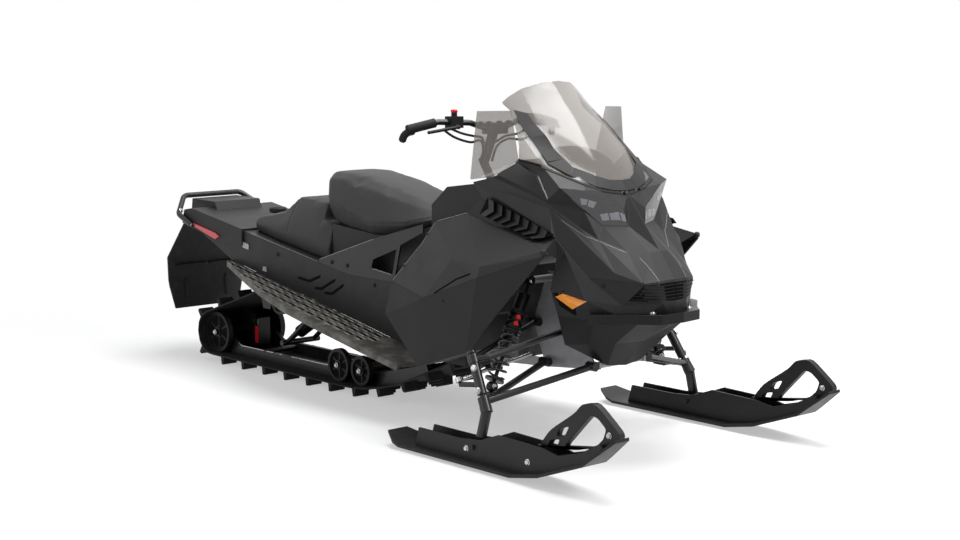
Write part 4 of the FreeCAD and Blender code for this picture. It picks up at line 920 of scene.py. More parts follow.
@dataclass
class PlateSet:
    """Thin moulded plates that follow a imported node's surface."""

    name: str
    finish: Surface
    node: str
    outlines: tuple[Line, ...]
    proud: float = 1.2
    sunk: float = 1.5
    edge: float = 0.5
    outward: float = 0.0

    def build(self, hides: Hides, paints: Paintbox) -> None:
        """Lay every plate and its mirrored twin on the surface and show them as one piece."""
        shape = bmesh.new()
        for outline in self.outlines:
            self.plate(shape, hides, outline)
            self.plate(shape, hides, mirrored(outline))
        piece = show(self.name, shape, "chassis", paints.get(self.finish))
        round_edges(piece, "rim", self.edge)

    def plate(self, shape: bmesh.types.BMesh, hides: Hides, outline: Line) -> None:
        """Add one plate to a mesh, as a fan over its middle.

        Args:
            shape: The mesh that takes it.
            hides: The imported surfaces.
            outline: Its corners in millimetres.
        """
        middle = tuple(sum(corner[axis] for corner in outline) / len(outline) for axis in range(3))
        seats = [hides.seat(self.node, corner, self.outward) for corner in (*outline, middle)]
        lean = sum((normal for _, normal in seats), Vector()).normalized()
        top = [shape.verts.new(point + lean * (self.proud * MILLIMETRE)) for point, _ in seats]
        base = [shape.verts.new(point - lean * (self.sunk * MILLIMETRE)) for point, _ in seats]
        count = len(outline)
        for step in range(count):
            after = (step + 1) % count
            shape.faces.new((top[step], top[after], top[count]))
            shape.faces.new((base[after], base[step], base[count]))
            shape.faces.new((top[after], top[step], base[step], base[after]))


@dataclass
class StripSet:
    """Narrow ribs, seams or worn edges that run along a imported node's surface."""

    # The longest run between two seats, and how deep the sides reach under the surface, in millimetres
    STEP_MM = 12.0
    ROOT_MM = 1.2
    # The width of the ends and of the crown, as shares of the full width
    TIP_SHARE = 0.25
    CROWN_SHARE = 0.6

    name: str
    finish: Surface
    node: str
    lines: tuple[Line, ...]
    width: float
    proud: float
    outward: float = 0.0

    def build(self, hides: Hides, paints: Paintbox) -> None:
        """Lay every strip and its mirrored twin on the surface and show them as one piece."""
        shape = bmesh.new()
        for line in self.lines:
            self.strip(shape, hides, line)
            self.strip(shape, hides, mirrored(line))
        show(self.name, shape, "chassis", paints.get(self.finish))

    def strip(self, shape: bmesh.types.BMesh, hides: Hides, line: Line) -> None:
        """Add one strip to a mesh, its ends drawn to points.

        Args:
            shape: The mesh that takes it.
            hides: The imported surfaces.
            line: The places that it passes, in millimetres.
        """
        seats = [hides.seat(self.node, place, self.outward) for place in self.divided(line)]
        rings = []
        last = len(seats) - 1
        for step, (point, normal) in enumerate(seats):
            run = (seats[min(step + 1, last)][0] - seats[max(step - 1, 0)][0]).normalized()
            side = run.cross(normal).normalized()
            share = self.TIP_SHARE if step in (0, last) else 1.0
            half = side * (self.width * share * MILLIMETRE / 2)
            crown = half * self.CROWN_SHARE
            lift = normal * (self.proud * share * MILLIMETRE)
            root = normal * (self.ROOT_MM * MILLIMETRE)
            low, high = point - root, point + lift
            rings.append([low - half, high - crown, high + crown, low + half])
        loft(shape, rings)

    def divided(self, line: Line) -> list[Place]:
        """Return the line with places added so that no run is longer than a step."""
        fine = [Vector(line[0])]
        for place in line[1:]:
            start = fine[-1].copy()
            end = Vector(place)
            count = max(1, math.ceil((end - start).length / self.STEP_MM))
            fine += [start.lerp(end, share / count) for share in range(1, count + 1)]
        return [tuple(place) for place in fine]


@dataclass
class SoftSeat:
    """An upholstered cushion: vinyl drawn over foam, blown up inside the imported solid's space."""

    node: str
    name: str
    voxel_mm: float = 8.0
    inset_mm: float = 7.0
    cap_mm: float = 22.0
    tight: float = 0.85
    seam_reach_mm: float = 7.0
    seam_depth_mm: float = 2.6
    welt_depth_mm: float = 2.4
    # How many frames the cover takes to come to rest
    frames: int = 20
    # The upright part of a face's direction: below this it is held, under the second it is a side,
    # and over the third it is the top
    held_lean: float = -0.6
    side_lean: float = 0.9
    top_lean: float = 0.2
    # The seam between top and skirt, as pairs of place along the seat and height
    seam: tuple[Pair, ...] = ()
    # The cross seams of the top, as places along the seat
    welts: tuple[float, ...] = ()

    def build(self, nodes: dict[str, bpy.types.Object], paints: Paintbox) -> None:
        """Blow the cushion up, press its seams in and put it in the solid's place."""
        source = nodes[self.node]
        piece = bpy.data.objects.new(self.name, source.data.copy())
        bpy.context.scene.collection.objects.link(piece)
        piece.data.materials.clear()
        self.settle(piece, "grid", "REMESH", {"mode": "VOXEL", "voxel_size": self.voxel_mm * MILLIMETRE})
        self.settle(piece, "ease", "SMOOTH", {"factor": 0.5, "iterations": 12})
        self.shrink(piece)
        self.inflate(piece)
        self.settle(piece, "fine", "SUBSURF", {"levels": 1, "render_levels": 1})
        self.press_seams(piece)
        piece.data.materials.append(paints.get(Surface.SEAT))
        piece.data.materials.append(paints.get(Surface.SEAT_SKIRT))
        self.cover(piece)
        piece.data.polygons.foreach_set("use_smooth", [True] * len(piece.data.polygons))
        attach(piece, "chassis")
        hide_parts(self.node)
        LOG.info("%s: %d faces", self.name, len(piece.data.polygons))

    def settle(self, piece: bpy.types.Object, name: str, kind: str, settings: dict) -> None:
        """Give a piece one modifier and keep its result as the mesh.

        Args:
            piece: The cushion.
            name: The modifier's name.
            kind: Its type.
            settings: Its properties.
        """
        modifier = piece.modifiers.new(name, kind)
        for key, value in settings.items():
            setattr(modifier, key, value)
        self.keep(piece)

    def keep(self, piece: bpy.types.Object) -> None:
        """Make a piece's evaluated mesh its own and drop its modifiers."""
        graph = bpy.context.evaluated_depsgraph_get()
        mesh = bpy.data.meshes.new_from_object(piece.evaluated_get(graph))
        piece.modifiers.clear()
        piece.data = mesh

    def shrink(self, piece: bpy.types.Object) -> None:
        """Draw the shape in from the solid's skin, but leave it standing on its base."""
        outward = [vertex.normal.copy() for vertex in piece.data.vertices]
        for vertex, normal in zip(piece.data.vertices, outward):
            normal.z = max(normal.z, 0.0)
            vertex.co -= normal * (self.inset_mm * MILLIMETRE)

    def inflate(self, piece: bpy.types.Object) -> None:
        """Swell the cover with cloth under pressure, its underside held, and cap how far it moves."""
        held = piece.vertex_groups.new(name="held")
        under = [vertex.index for vertex in piece.data.vertices if vertex.normal.z < self.held_lean]
        held.add(under, 1.0, "REPLACE")
        start = [vertex.co.copy() for vertex in piece.data.vertices]
        cloth = piece.modifiers.new("foam", "CLOTH")
        cloth.settings.quality = 4
        cloth.settings.use_pressure = True
        cloth.settings.uniform_pressure_force = 2.5
        cloth.settings.vertex_group_mass = "held"
        cloth.settings.effector_weights.gravity = 0.0
        cloth.settings.tension_stiffness = 40.0
        cloth.settings.compression_stiffness = 40.0
        cloth.settings.bending_stiffness = 25.0
        cloth.collision_settings.use_collision = False
        cloth.point_cache.frame_start = 1
        cloth.point_cache.frame_end = self.frames
        for step in range(1, self.frames + 1):
            bpy.context.scene.frame_set(step)
        self.keep(piece)
        bpy.context.scene.frame_set(1)
        cap = self.cap_mm * MILLIMETRE
        for vertex, rest in zip(piece.data.vertices, start):
            moved = vertex.co - rest
            if moved.length > cap:
                vertex.co = rest + moved * (cap / moved.length)

    def seam_height(self, along_mm: float) -> float:
        """Return the seam's height in millimetres at a place along the seat."""
        for (a, low), (b, high) in zip(self.seam, self.seam[1:]):
            if a <= along_mm <= b:
                return low + (high - low) * (along_mm - a) / (b - a)
        return self.seam[0][1] if along_mm < self.seam[0][0] else self.seam[-1][1]

    def press_seams(self, piece: bpy.types.Object) -> None:
        """Press the sewn lines into the cover."""
        outward = [vertex.normal.copy() for vertex in piece.data.vertices]
        for vertex, normal in zip(piece.data.vertices, outward):
            x, _, z = (value / MILLIMETRE for value in vertex.co)
            depth = 0.0
            if self.seam and abs(normal.z) < self.side_lean:
                gap = abs(z - self.seam_height(x))
                depth = self.seam_depth_mm * max(0.0, 1 - (gap / self.seam_reach_mm) ** 2)
            for welt in self.welts:
                if normal.z > self.top_lean and (not self.seam or z > self.seam_height(x)):
                    depth = max(depth, self.welt_depth_mm * (1 - (abs(x - welt) / self.seam_reach_mm) ** 2))
            if depth > 0:
                vertex.co -= normal * (depth * MILLIMETRE)

    def cover(self, piece: bpy.types.Object) -> None:
        """Give the skirt below the seam its own vinyl."""
        for face in piece.data.polygons:
            along, _, height = (value / MILLIMETRE for value in face.center)
            face.material_index = 1 if self.seam and height < self.seam_height(along) else 0


@dataclass
class SkiHandle:
    """The moulded loop over one ski's tip, with its large hand hole and the two small ones behind."""

    side: str
    thick: float = 26.0
    edge: float = 3.0
    middle: float = 540.0
    outline: tuple[Pair, ...] = (
        *((1214, 118), (1266, 181), (1374, 252), (1408, 287), (1466, 298)),
        *((1566, 222), (1572, 204), (1520, 158), (1506, 162)),
    )
    hand_hole: tuple[Pair, ...] = (
        *((1322, 128), (1408, 218), (1446, 257), (1476, 252)),
        *((1512, 224), (1500, 190), (1474, 166), (1400, 140)),
    )
    back_holes: tuple[tuple[Pair, ...], ...] = (
        ((1295, 164), (1307, 191), (1352, 206), (1332, 172)),
        ((1254, 122), (1268, 147), (1310, 157), (1298, 132)),
    )
    # The cross bars that join the loop to the ski, and how far they reach past its faces
    bars: tuple[Pair, ...] = ((1228, 122), (1504, 168))
    bar_radius: float = 7.0
    bar_half: float = 26.0
    # How far along each side a corner's cut starts
    cut_share: float = 0.22

    def build(self, paints: Paintbox) -> None:
        """Cut the loop from a thick plate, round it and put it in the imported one's place."""
        shape = bmesh.new()
        across = (-self.middle if self.side == "right" else self.middle) * MILLIMETRE
        edges: list[bmesh.types.BMEdge] = []
        for ring in (self.outline, self.hand_hole, *self.back_holes):
            corners = [shape.verts.new((x * MILLIMETRE, across, z * MILLIMETRE)) for x, z in self.eased(ring)]
            edges += [shape.edges.new((a, b)) for a, b in zip(corners, corners[1:] + corners[:1])]
        bmesh.ops.triangle_fill(shape, use_beauty=True, use_dissolve=True, edges=edges)
        half = self.thick * MILLIMETRE / 2
        flat = list(shape.faces)
        grown = bmesh.ops.extrude_face_region(shape, geom=flat)
        moved = [item for item in grown["geom"] if isinstance(item, bmesh.types.BMVert)]
        bmesh.ops.translate(shape, verts=moved, vec=(0, 2 * half, 0))
        bmesh.ops.translate(shape, verts=list(shape.verts), vec=(0, -half, 0))
        long, wide = self.bar_half, self.bar_radius
        bar = Turning(((0, -long), (wide, -long), (wide, long), (0, long)), 16)
        for along, height in self.bars:
            bar.add(shape, Vector((along * MILLIMETRE, across, height * MILLIMETRE)), Vector((0, 1, 0)))
        piece = show(f"ski_handle_{self.side}", shape, f"ski_{self.side}", paints.get(Surface.SKI))
        round_edges(piece, "moulded_edge", self.edge, segments=3)
        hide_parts(f"ski_loop_{self.side}")

    def eased(self, ring: tuple[Pair, ...]) -> list[Pair]:
        """Return a ring of corners with each one cut to three points, so that it turns softly."""
        soft = []
        share = self.cut_share
        for before, corner, after in zip(ring[-1:] + ring[:-1], ring, ring[1:] + ring[:1]):
            first = [c + (b - c) * share for b, c in zip(before, corner)]
            last = [c + (a - c) * share for a, c in zip(after, corner)]
            middle = [(f + 2 * c + s) / 4 for f, c, s in zip(first, corner, last)]
            soft += [tuple(first), tuple(middle), tuple(last)]
        return soft


@dataclass
class ShockTrim:
    """The dark clamps, the spring collars and the small red adjusters of both front dampers."""

    top: Place = (828, -225, 585)
    foot: Place = (854, -425, 240)
    # Where the rings start, in millimetres up the damper
    clamps: tuple[float, ...] = (222, 246)
    collars: tuple[float, ...] = (202, 214, 268, 276)
    # Outer radius at the ends, and length
    clamp: Pair = (27.5, 18.0)
    collar: Pair = (32.0, 5.0)
    bore: float = 23.5
    # How far a ring bulges past its ends, and over what length
    bulge: Pair = (1.0, 1.5)
    # An adjuster's place over its clamp's start, its distance from the damper's axis, the way
    # that it faces on the right side, and its profile
    adjuster_rise: float = 9.0
    adjuster_reach: float = 26.0
    adjuster_face: Place = (0.8, -0.6, 0.0)
    adjuster: tuple[Pair, ...] = ((0, 0), (11, 0), (11, 6), (9.5, 7.5), (0, 7.5))

    def build(self, paints: Paintbox) -> None:
        """Add the clamps, the collars and the adjusters to both dampers."""
        self.bands("damper_clamps", paints.get(Surface.SHOCK), self.clamps, self.clamp)
        self.bands("damper_collars", paints.get(Surface.SHOCK), self.collars, self.collar)
        self.adjusters(paints)

    def axis(self, side: int) -> tuple[Vector, Vector]:
        """Return the foot of one side's damper in metres, and the direction up it."""
        foot = Vector((self.foot[0], self.foot[1] * side, self.foot[2])) * MILLIMETRE
        top = Vector((self.top[0], self.top[1] * side, self.top[2])) * MILLIMETRE
        return foot, (top - foot).normalized()

    def bands(self, name: str, finish: bpy.types.Material, starts: tuple[float, ...], size: Pair) -> None:
        """Show like rings round both dampers as one piece.

        Args:
            name: The piece's name.
            finish: Its material.
            starts: Where the rings start, up the damper.
            size: Their outer radius at the ends, and their length.
        """
        shape = bmesh.new()
        radius, length = size
        full, ease = radius + self.bulge[0], self.bulge[1]
        outer = ((radius, 0.0), (full, ease), (full, length - ease), (radius, length))
        band = Turning(((self.bore, 0), *outer, (self.bore, length)), 24, hollow=True)
        for side in (1, -1):
            foot, axis = self.axis(side)
            for start in starts:
                band.add(shape, foot + axis * (start * MILLIMETRE), axis)
        show(name, shape, "chassis", finish)

    def adjusters(self, paints: Paintbox) -> None:
        """Add the two small square red adjusters that face forward and outward on each damper."""
        shape = bmesh.new()
        button = Turning(self.adjuster, 4)
        for side in (1, -1):
            foot, axis = self.axis(side)
            out = Vector((self.adjuster_face[0], self.adjuster_face[1] * side, self.adjuster_face[2]))
            out = (out - axis * out.dot(axis)).normalized()
            for start in self.clamps:
                rise = axis * ((start + self.adjuster_rise) * MILLIMETRE)
                button.add(shape, foot + rise + out * (self.adjuster_reach * MILLIMETRE), out)
        show("damper_adjusters", shape, "chassis", paints.get(Surface.RED_PART))


@dataclass
class TurnedPiece:
    """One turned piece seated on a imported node, such as a cap, knob or rubber stop."""

    name: str
    finish: Surface
    node: str
    place: Place
    profile: tuple[Pair, ...]
    axis: Place = (0, 0, 1)
    mirrored: bool = False
    body: str = "chassis"
    sides: int = 28

    def build(self, hides: Hides, paints: Paintbox) -> None:
        """Seat the piece, and its twin where there is one."""
        shape = bmesh.new()
        for spot in both_sides(self.place) if self.mirrored else [self.place]:
            point, _ = hides.seat(self.node, spot)
            axis = Vector(self.axis)
            axis.y = math.copysign(axis.y, spot[1]) if self.mirrored else axis.y
            Turning(self.profile, self.sides).add(shape, point, axis.normalized())
        show(self.name, shape, self.body, paints.get(self.finish))


def facets(top_a: Place, top_b: Place, low_a: Place, low_b: Place, count: int) -> tuple[Line, ...]:
    """Cut a four-cornered field into upright narrow ones, so that plates can follow a bend.

    Args:
        top_a: The upper corner at the start.
        top_b: The upper corner at the end.
        low_a: The lower corner at the start.
        low_b: The lower corner at the end.
        count: How many fields to cut.

    Returns:
        The outline of each narrow field.
    """
    tops = [Vector(top_a).lerp(Vector(top_b), step / count) for step in range(count + 1)]
    lows = [Vector(low_a).lerp(Vector(low_b), step / count) for step in range(count + 1)]
    corners = [(tops[step], tops[step + 1], lows[step + 1], lows[step]) for step in range(count)]
    return tuple(tuple(tuple(corner) for corner in field) for field in corners)


LAMP_CELLS = (
    ((1050, -204, 886), (1062, -180, 880), (1060, -182, 862), (1051, -199, 863)),
    ((1064, -176, 879), (1076, -151, 870), (1071, -161, 850), (1062, -180, 858)),
    ((1081, -139, 828), (1092, -112, 832), (1096, -106, 808), (1085, -130, 806)),
    ((1094, -108, 832), (1108, -74, 834), (1112, -68, 806), (1098, -102, 808)),
    ((1110, -70, 832), (1118, -54, 826), (1120, -48, 800), (1114, -64, 804)),
)
SCREEN_EDGE_LINE = (
    *((698, -188, 1160), (811, -262, 1002), (905, -238, 985)),
    *((1030, -165, 931), (1060, -85, 904), (1080, 0, 890)),
)
# Five bars, each lower and longer than the one over it
GRILLE_LINES = tuple(
    ((1262 - 8 * bar, -132 - 6 * bar, 595 - 11 * bar), (1288, -62, 596 - 11 * bar), (1296, 0, 598 - 11 * bar))
    for bar in range(5)
)

DETAILS: tuple[FastenerSet | PlateSet | StripSet | TurnedPiece, ...] = (
    PlateSet("lamp_cells", Surface.LAMP_CELL, "headlamps", LAMP_CELLS, proud=0.6, sunk=1.0, edge=0.3),
    PlateSet(
        "quarter_windows", Surface.GLOSS, "hood",
        (((722, -288, 942), (800, -265, 986), (885, -262, 950), (958, -288, 880)),),
        proud=1.4, edge=0.8, outward=14,
    ),
    StripSet(
        "quarter_window_seals", Surface.SEAL, "hood",
        (((708, -290, 938), (840, -290, 905), (968, -288, 872)),),
        width=9, proud=2.2, outward=14,
    ),
    # Painted highlight: a pale strip along one edge of the quarter window
    StripSet(
        "quarter_window_highlights", Surface.EDGE_HIGHLIGHT, "hood",
        (((890, -256, 950), (968, -287, 877)),),
        width=6, proud=2.0, outward=14,
    ),
    StripSet(
        "screen_border", Surface.DARK_PANEL, "hood", (SCREEN_EDGE_LINE,), width=20, proud=2.5, outward=14
    ),
    PlateSet(
        "screen_pillars", Surface.PANEL, "windshield",
        (
            ((700, -190, 1162), (752, -172, 1154), (800, -178, 1121), (766, -210, 1110)),
            ((766, -210, 1110), (800, -178, 1121), (848, -176, 1082), (815, -214, 1074)),
            ((815, -214, 1074), (848, -176, 1082), (892, -177, 1035), (862, -216, 1034)),
            ((862, -216, 1034), (892, -177, 1035), (930, -164, 1004), (906, -220, 996)),
        ),
        proud=5.0, sunk=-3.0, edge=0.2, outward=14,
    ),
    PlateSet(
        "screen_base_bands", Surface.PANEL, "windshield",
        (
            ((906, -222, 990), (930, -164, 1004), (968, -153, 980), (984, -190, 955)),
            ((984, -190, 955), (968, -153, 980), (1013, -106, 951), (1046, -118, 918)),
            ((1046, -118, 918), (1013, -106, 951), (1040, -50, 934), (1066, -60, 903)),
            ((1066, -60, 903), (1040, -50, 934), (1048, 0, 930), (1074, 0, 898)),
        ),
        proud=5.0, sunk=-3.0, edge=0.2, outward=14,
    ),
    # Painted shade: a near-black plate round each side reflector, where its recess lies in shade
    PlateSet(
        "reflector_recess_shade", Surface.SHADE, "nose_cowl",
        (((1004, -291, 563), (1050, -292, 578), (1168, -250, 548), (1070, -256, 492), (1020, -275, 520)),),
        outward=14,
    ),
    # Painted light: these plates' grey is lifted above the steel's own tone, since they stand in shade
    PlateSet(
        "bulkhead_plates", Surface.BULKHEAD, "front_frame",
        (((780, -116, 552), (826, -116, 548), (862, -116, 400), (846, -116, 386), (768, -116, 400)),),
        proud=1.5,
    ),
    PlateSet(
        "reflector_faces", Surface.AMBER_LENS, "nose_cowl",
        (((1012, -289, 552), (1048, -291, 567), (1140, -266, 547), (1068, -264, 514)),),
        proud=3.4, edge=0.8, outward=14,
    ),
    # Painted shade: near-black plates fill the grille's recess behind the bars
    PlateSet(
        "grille_recess_shade", Surface.SHADE, "nose_cowl",
        facets((1268, -124, 600), (1297, 0, 606), (1226, -156, 546), (1304, 0, 546), 8),
        proud=0.8, edge=0.4, outward=14,
    ),
    StripSet("grille_bars", Surface.DARK_PANEL, "nose_cowl", GRILLE_LINES, width=4, proud=4.0, outward=14),
    # Painted highlight: thin pale lines along the hood's creases
    StripSet(
        "hood_crease_highlight", Surface.EDGE_HIGHLIGHT, "hood",
        (
            ((1022, -262, 816), (1090, -179, 750), (1172, -106, 707)),
            ((1205, -86, 692), (1289, -67, 614)),
        ),
        width=2.6, proud=0.5, outward=14,
    ),
    # Painted highlight: thin pale lines along the side panel's creases
    StripSet(
        "side_crease_highlight", Surface.EDGE_HIGHLIGHT, "side_panel_right",
        (
            ((394, -286, 759), (350, -320, 672), (192, -325, 527)),
            ((400, -284, 762), (556, -274, 803)),
        ),
        width=2.6, proud=0.5, outward=14,
    ),
    # Painted shade: a near-black strip in the side panel's slot, which lies in shade
    StripSet(
        "side_slot_shade", Surface.SHADE, "side_panel_right",
        (((500, -392, 520), (630, -405, 585), (712, -408, 612)),),
        width=9, proud=0.6, outward=14,
    ),
    # Painted shade: near-black strips in the tunnel's slots, which lie in shade
    StripSet(
        "tunnel_slot_shade", Surface.SHADE, "tunnel",
        (
            ((-562, -205, 449), (-482, -205, 441), (-403, -205, 470)),
            ((-449, -205, 417), (-399, -205, 419), (-305, -205, 466)),
            ((-383, -205, 404), (-328, -205, 407), (-251, -205, 452)),
        ),
        width=16, proud=0.7,
    ),
    # Painted highlight: a pale line along the tunnel's upper edge
    StripSet(
        "tunnel_edge_highlight", Surface.EDGE_HIGHLIGHT, "tunnel",
        (((-900, -200, 601), (-640, -202, 560), (-420, -202, 528)),),
        width=4, proud=0.6,
    ),
    # Painted highlight: pale lines along the seat brace's edges
    StripSet(
        "brace_edge_highlight", Surface.EDGE_HIGHLIGHT, "seat_support",
        (((-410, -205, 538), (-230, -205, 596), (-60, -205, 650)), ((-74, -205, 534), (46, -205, 521))),
        width=3.4, proud=0.6,
    ),
    StripSet(
        "flap_ribs", Surface.FLAP, "snow_flap",
        (((-1548, -105, 335), (-1552, -105, 190)), ((-1520, -175, 392), (-1520, 0, 392))),
        width=16, proud=7,
    ),
    # A bright strip along the rail tops: partly bare worn metal, partly a painted highlight
    StripSet(
        "rail_wear_and_highlight", Surface.BRIGHT, "skid_rails",
        (((-1150, -116, 92), (-800, -116, 90)), ((-740, -116, 90), (-480, -116, 88))),
        width=5, proud=0.6,
    ),
    # Painted light: the clips' grey is lifted above the steel's own tone
    PlateSet(
        "tunnel_clips", Surface.BULKHEAD, "tunnel",
        (
            ((-948, -205, 560), (-905, -205, 553), (-907, -205, 530), (-950, -205, 537)),
            ((-800, -205, 470), (-782, -205, 468), (-776, -205, 448), (-806, -205, 452)),
        ),
        proud=4, edge=1.0,
    ),
    PlateSet(
        "coupling_covers", Surface.RED_PART, "skid_shocks",
        (((-1124, -30, 82), (-1100, -30, 82), (-1100, -30, 156), (-1124, -30, 156)),),
        proud=1.5, sunk=1.0,
    ),
    PlateSet(
        "coupling_caps", Surface.BRIGHT, "skid_shocks",
        (((-1116, -30, 160), (-1100, -30, 160), (-1100, -30, 188), (-1116, -30, 188)),),
        proud=1.6, sunk=1.0,
    ),
    TurnedPiece(
        "stop_switch_cap", Surface.RED_PART, "controls", (388, -185, 1160),
        ((0, -3), (12, -3), (12.8, 0), (12.8, 4), (11, 7), (5, 8), (0, 8)),
        body="steering",
    ),
    TurnedPiece(
        "deck_knob", Surface.DARK_PANEL, "tail_panel", (-976, 0, 640),
        ((0, -4), (17, -4), (15, 44), (32, 48), (38, 53), (38, 66), (33, 71), (12, 74), (0, 74)),
    ),
    TurnedPiece(
        "side_panel_stops", Surface.FLAP, "side_panel_right", (1060, -384, 716),
        ((0, -6), (9, -6), (11, -2), (11, 5), (8, 10), (0, 11)),
        axis=(0.9, -0.35, 0.0),
        mirrored=True,
    ),
    FastenerSet("bumper_bolts", Surface.BRIGHT, Fastener(9.5), (("front_bumper", (1282, -91, 512)),)),
    FastenerSet(
        "bar_clamp_caps", Surface.SHOCK, Fastener(11.0),
        (("handlebar", (402, -26, 1125)), ("handlebar", (402, -62, 1125))),
        body="steering",
    ),
    FastenerSet(
        "tail_bar_bolts", Surface.BRIGHT, Fastener(7.5, hexagon=True),
        (("rear_bumper", (-1417, -213, 660)), ("rear_bumper", (-1316, -225, 604))),
    ),
    FastenerSet(
        "damper_bolts", Surface.BRIGHT, Fastener(9.0, hexagon=True),
        (("front_shocks", (845, -225, 585)), ("front_shocks", (872, -425, 240))),
        along=(1, 0, 0),
    ),
    FastenerSet(
        "brace_bolts", Surface.SHOCK, Fastener(7.0, hexagon=True),
        (
            ("seat_support", (-330, -206, 534)),
            ("seat_support", (-230, -206, 530)),
            ("tunnel", (-60, -206, 470)),
            ("tunnel", (80, -206, 460)),
            ("tunnel", (-1100, -206, 560)),
            ("tunnel", (-700, -206, 530)),
        ),
    ),
    FastenerSet(
        "panel_screws", Surface.SHOCK, Fastener(5.5),
        (
            ("side_panel_right", (372, -306, 716)),
            ("side_panel_right", (262, -327, 592)),
            ("side_panel_right", (640, -290, 780)),
            ("nose_cowl", (1180, -222, 600)),
            ("belly_pan", (1150, -190, 470)),
            ("footwell_right", (560, -398, 500)),
        ),
    ),
    FastenerSet(
        "wheel_bolts", Surface.BRIGHT, Fastener(8.0, hexagon=True),
        (
            ("rail_wheels", (-360, -166, 106)),
            ("rail_wheels", (-215, -166, 102)),
            ("rear_idlers", (-1240, -190, 129)),
        ),
        along=(0, -1, 0),
    ),
)


def side_fasteners(side: str) -> tuple[FastenerSet, ...]:
    """Return the fasteners of one side's ski and spindle.

    Args:
        side: Right or left.

    Returns:
        The sets that ride on that side's bodies.
    """
    turn = -1 if side == "right" else 1
    ski, spindle = f"ski_{side}", f"spindle_{side}"
    return (
        FastenerSet(
            f"{ski}_bolts",
            Surface.BRIGHT,
            Fastener(8.0, hexagon=True),
            (
                (f"ski_loop_{side}", (1526, turn * 556, 206)),
                (f"ski_loop_{side}", (1526, turn * 524, 206)),
                (ski, (1190, turn * 582, 64)),
                (ski, (893, turn * 582, 56)),
            ),
            mirrored=False,
            body=ski,
        ),
        FastenerSet(
            f"{spindle}_nuts",
            Surface.BRIGHT,
            Fastener(8.5, hexagon=True),
            ((spindle, (892, turn * 545, 250)), (spindle, (860, turn * 520, 320))),
            mirrored=False,
            body=spindle,
        ),
    )


@dataclass
class LouvreBank:
    """The folded blades that close the air outlet between the hood and a side panel."""

    top: tuple[Place, Place] = ((676, -281, 866), (1008, -303, 774))
    low: tuple[Place, Place] = ((640, -286, 806), (962, -330, 748))
    blades: int = 7
    fold: float = 0.55
    lift: float = 15.0
    thick: float = 3.0
    # How much of its pitch a blade fills, and how far the opening runs past the last blade
    fill: float = 0.98
    overrun: float = 1.06
    # The sheet of painted shade in the opening: its front and back, off the panel
    opening: Pair = (2.5, -2.0)
    # The way out of the panel
    out: Place = (0.05, -0.97, 0.25)

    def spot(self, along: float, down: float, lift: float) -> Vector:
        """Return a place of the bank in metres, by its shares along and down, lifted off the panel."""
        high = Vector(self.top[0]).lerp(Vector(self.top[1]), along)
        low = Vector(self.low[0]).lerp(Vector(self.low[1]), along)
        return (high.lerp(low, down) + Vector(self.out) * lift) * MILLIMETRE

    def build(self, paints: Paintbox) -> None:
        """Make the blades and, behind them, a dark sheet of painted shade in the opening, on both sides."""
        shape = bmesh.new()
        step = 1 / self.blades
        for number in range(self.blades):
            rear, front = number * step, (number + self.fill) * step
            rows = []
            for down in (0.0, 0.5, 1.0):
                shift = self.fold * step * (1 - abs(2 * down - 1))
                rows.append((rear + shift, front + shift, down))
            self.blade(shape, rows)
        self.mirror(shape)
        show("louvre_blades", shape, "chassis", paints.get(Surface.DARK_PANEL))
        # Painted shade: a near-black sheet stands in the opening behind the blades
        shape = bmesh.new()
        corners = ((0, 0), (self.overrun, 0), (self.overrun, 1), (0, 1))
        loft(shape, [[self.spot(along, down, lift) for along, down in corners] for lift in self.opening])
        self.mirror(shape)
        show("louvre_opening_shade", shape, "chassis", paints.get(Surface.SHADE))

    def blade(self, shape: bmesh.types.BMesh, rows: list[Place]) -> None:
        """Add one blade to a mesh: lifted at its front edge, sunk at its rear one.

        Args:
            shape: The mesh that takes it.
            rows: The blade's rear, its front and how far down it is, for each row.
        """
        rings = []
        for rear, front, down in rows:
            rings.append(
                [
                    self.spot(rear, down, 1.0),
                    self.spot(front, down, self.lift),
                    self.spot(front, down, self.lift - self.thick),
                    self.spot(rear, down, 1.0 - self.thick),
                ]
            )
        loft(shape, rings)

    def mirror(self, shape: bmesh.types.BMesh) -> None:
        """Add the other side's twin to a mesh."""
        grown = bmesh.ops.duplicate(shape, geom=list(shape.verts) + list(shape.edges) + list(shape.faces))
        for item in grown["geom"]:
            if isinstance(item, bmesh.types.BMVert):
                item.co.y = -item.co.y


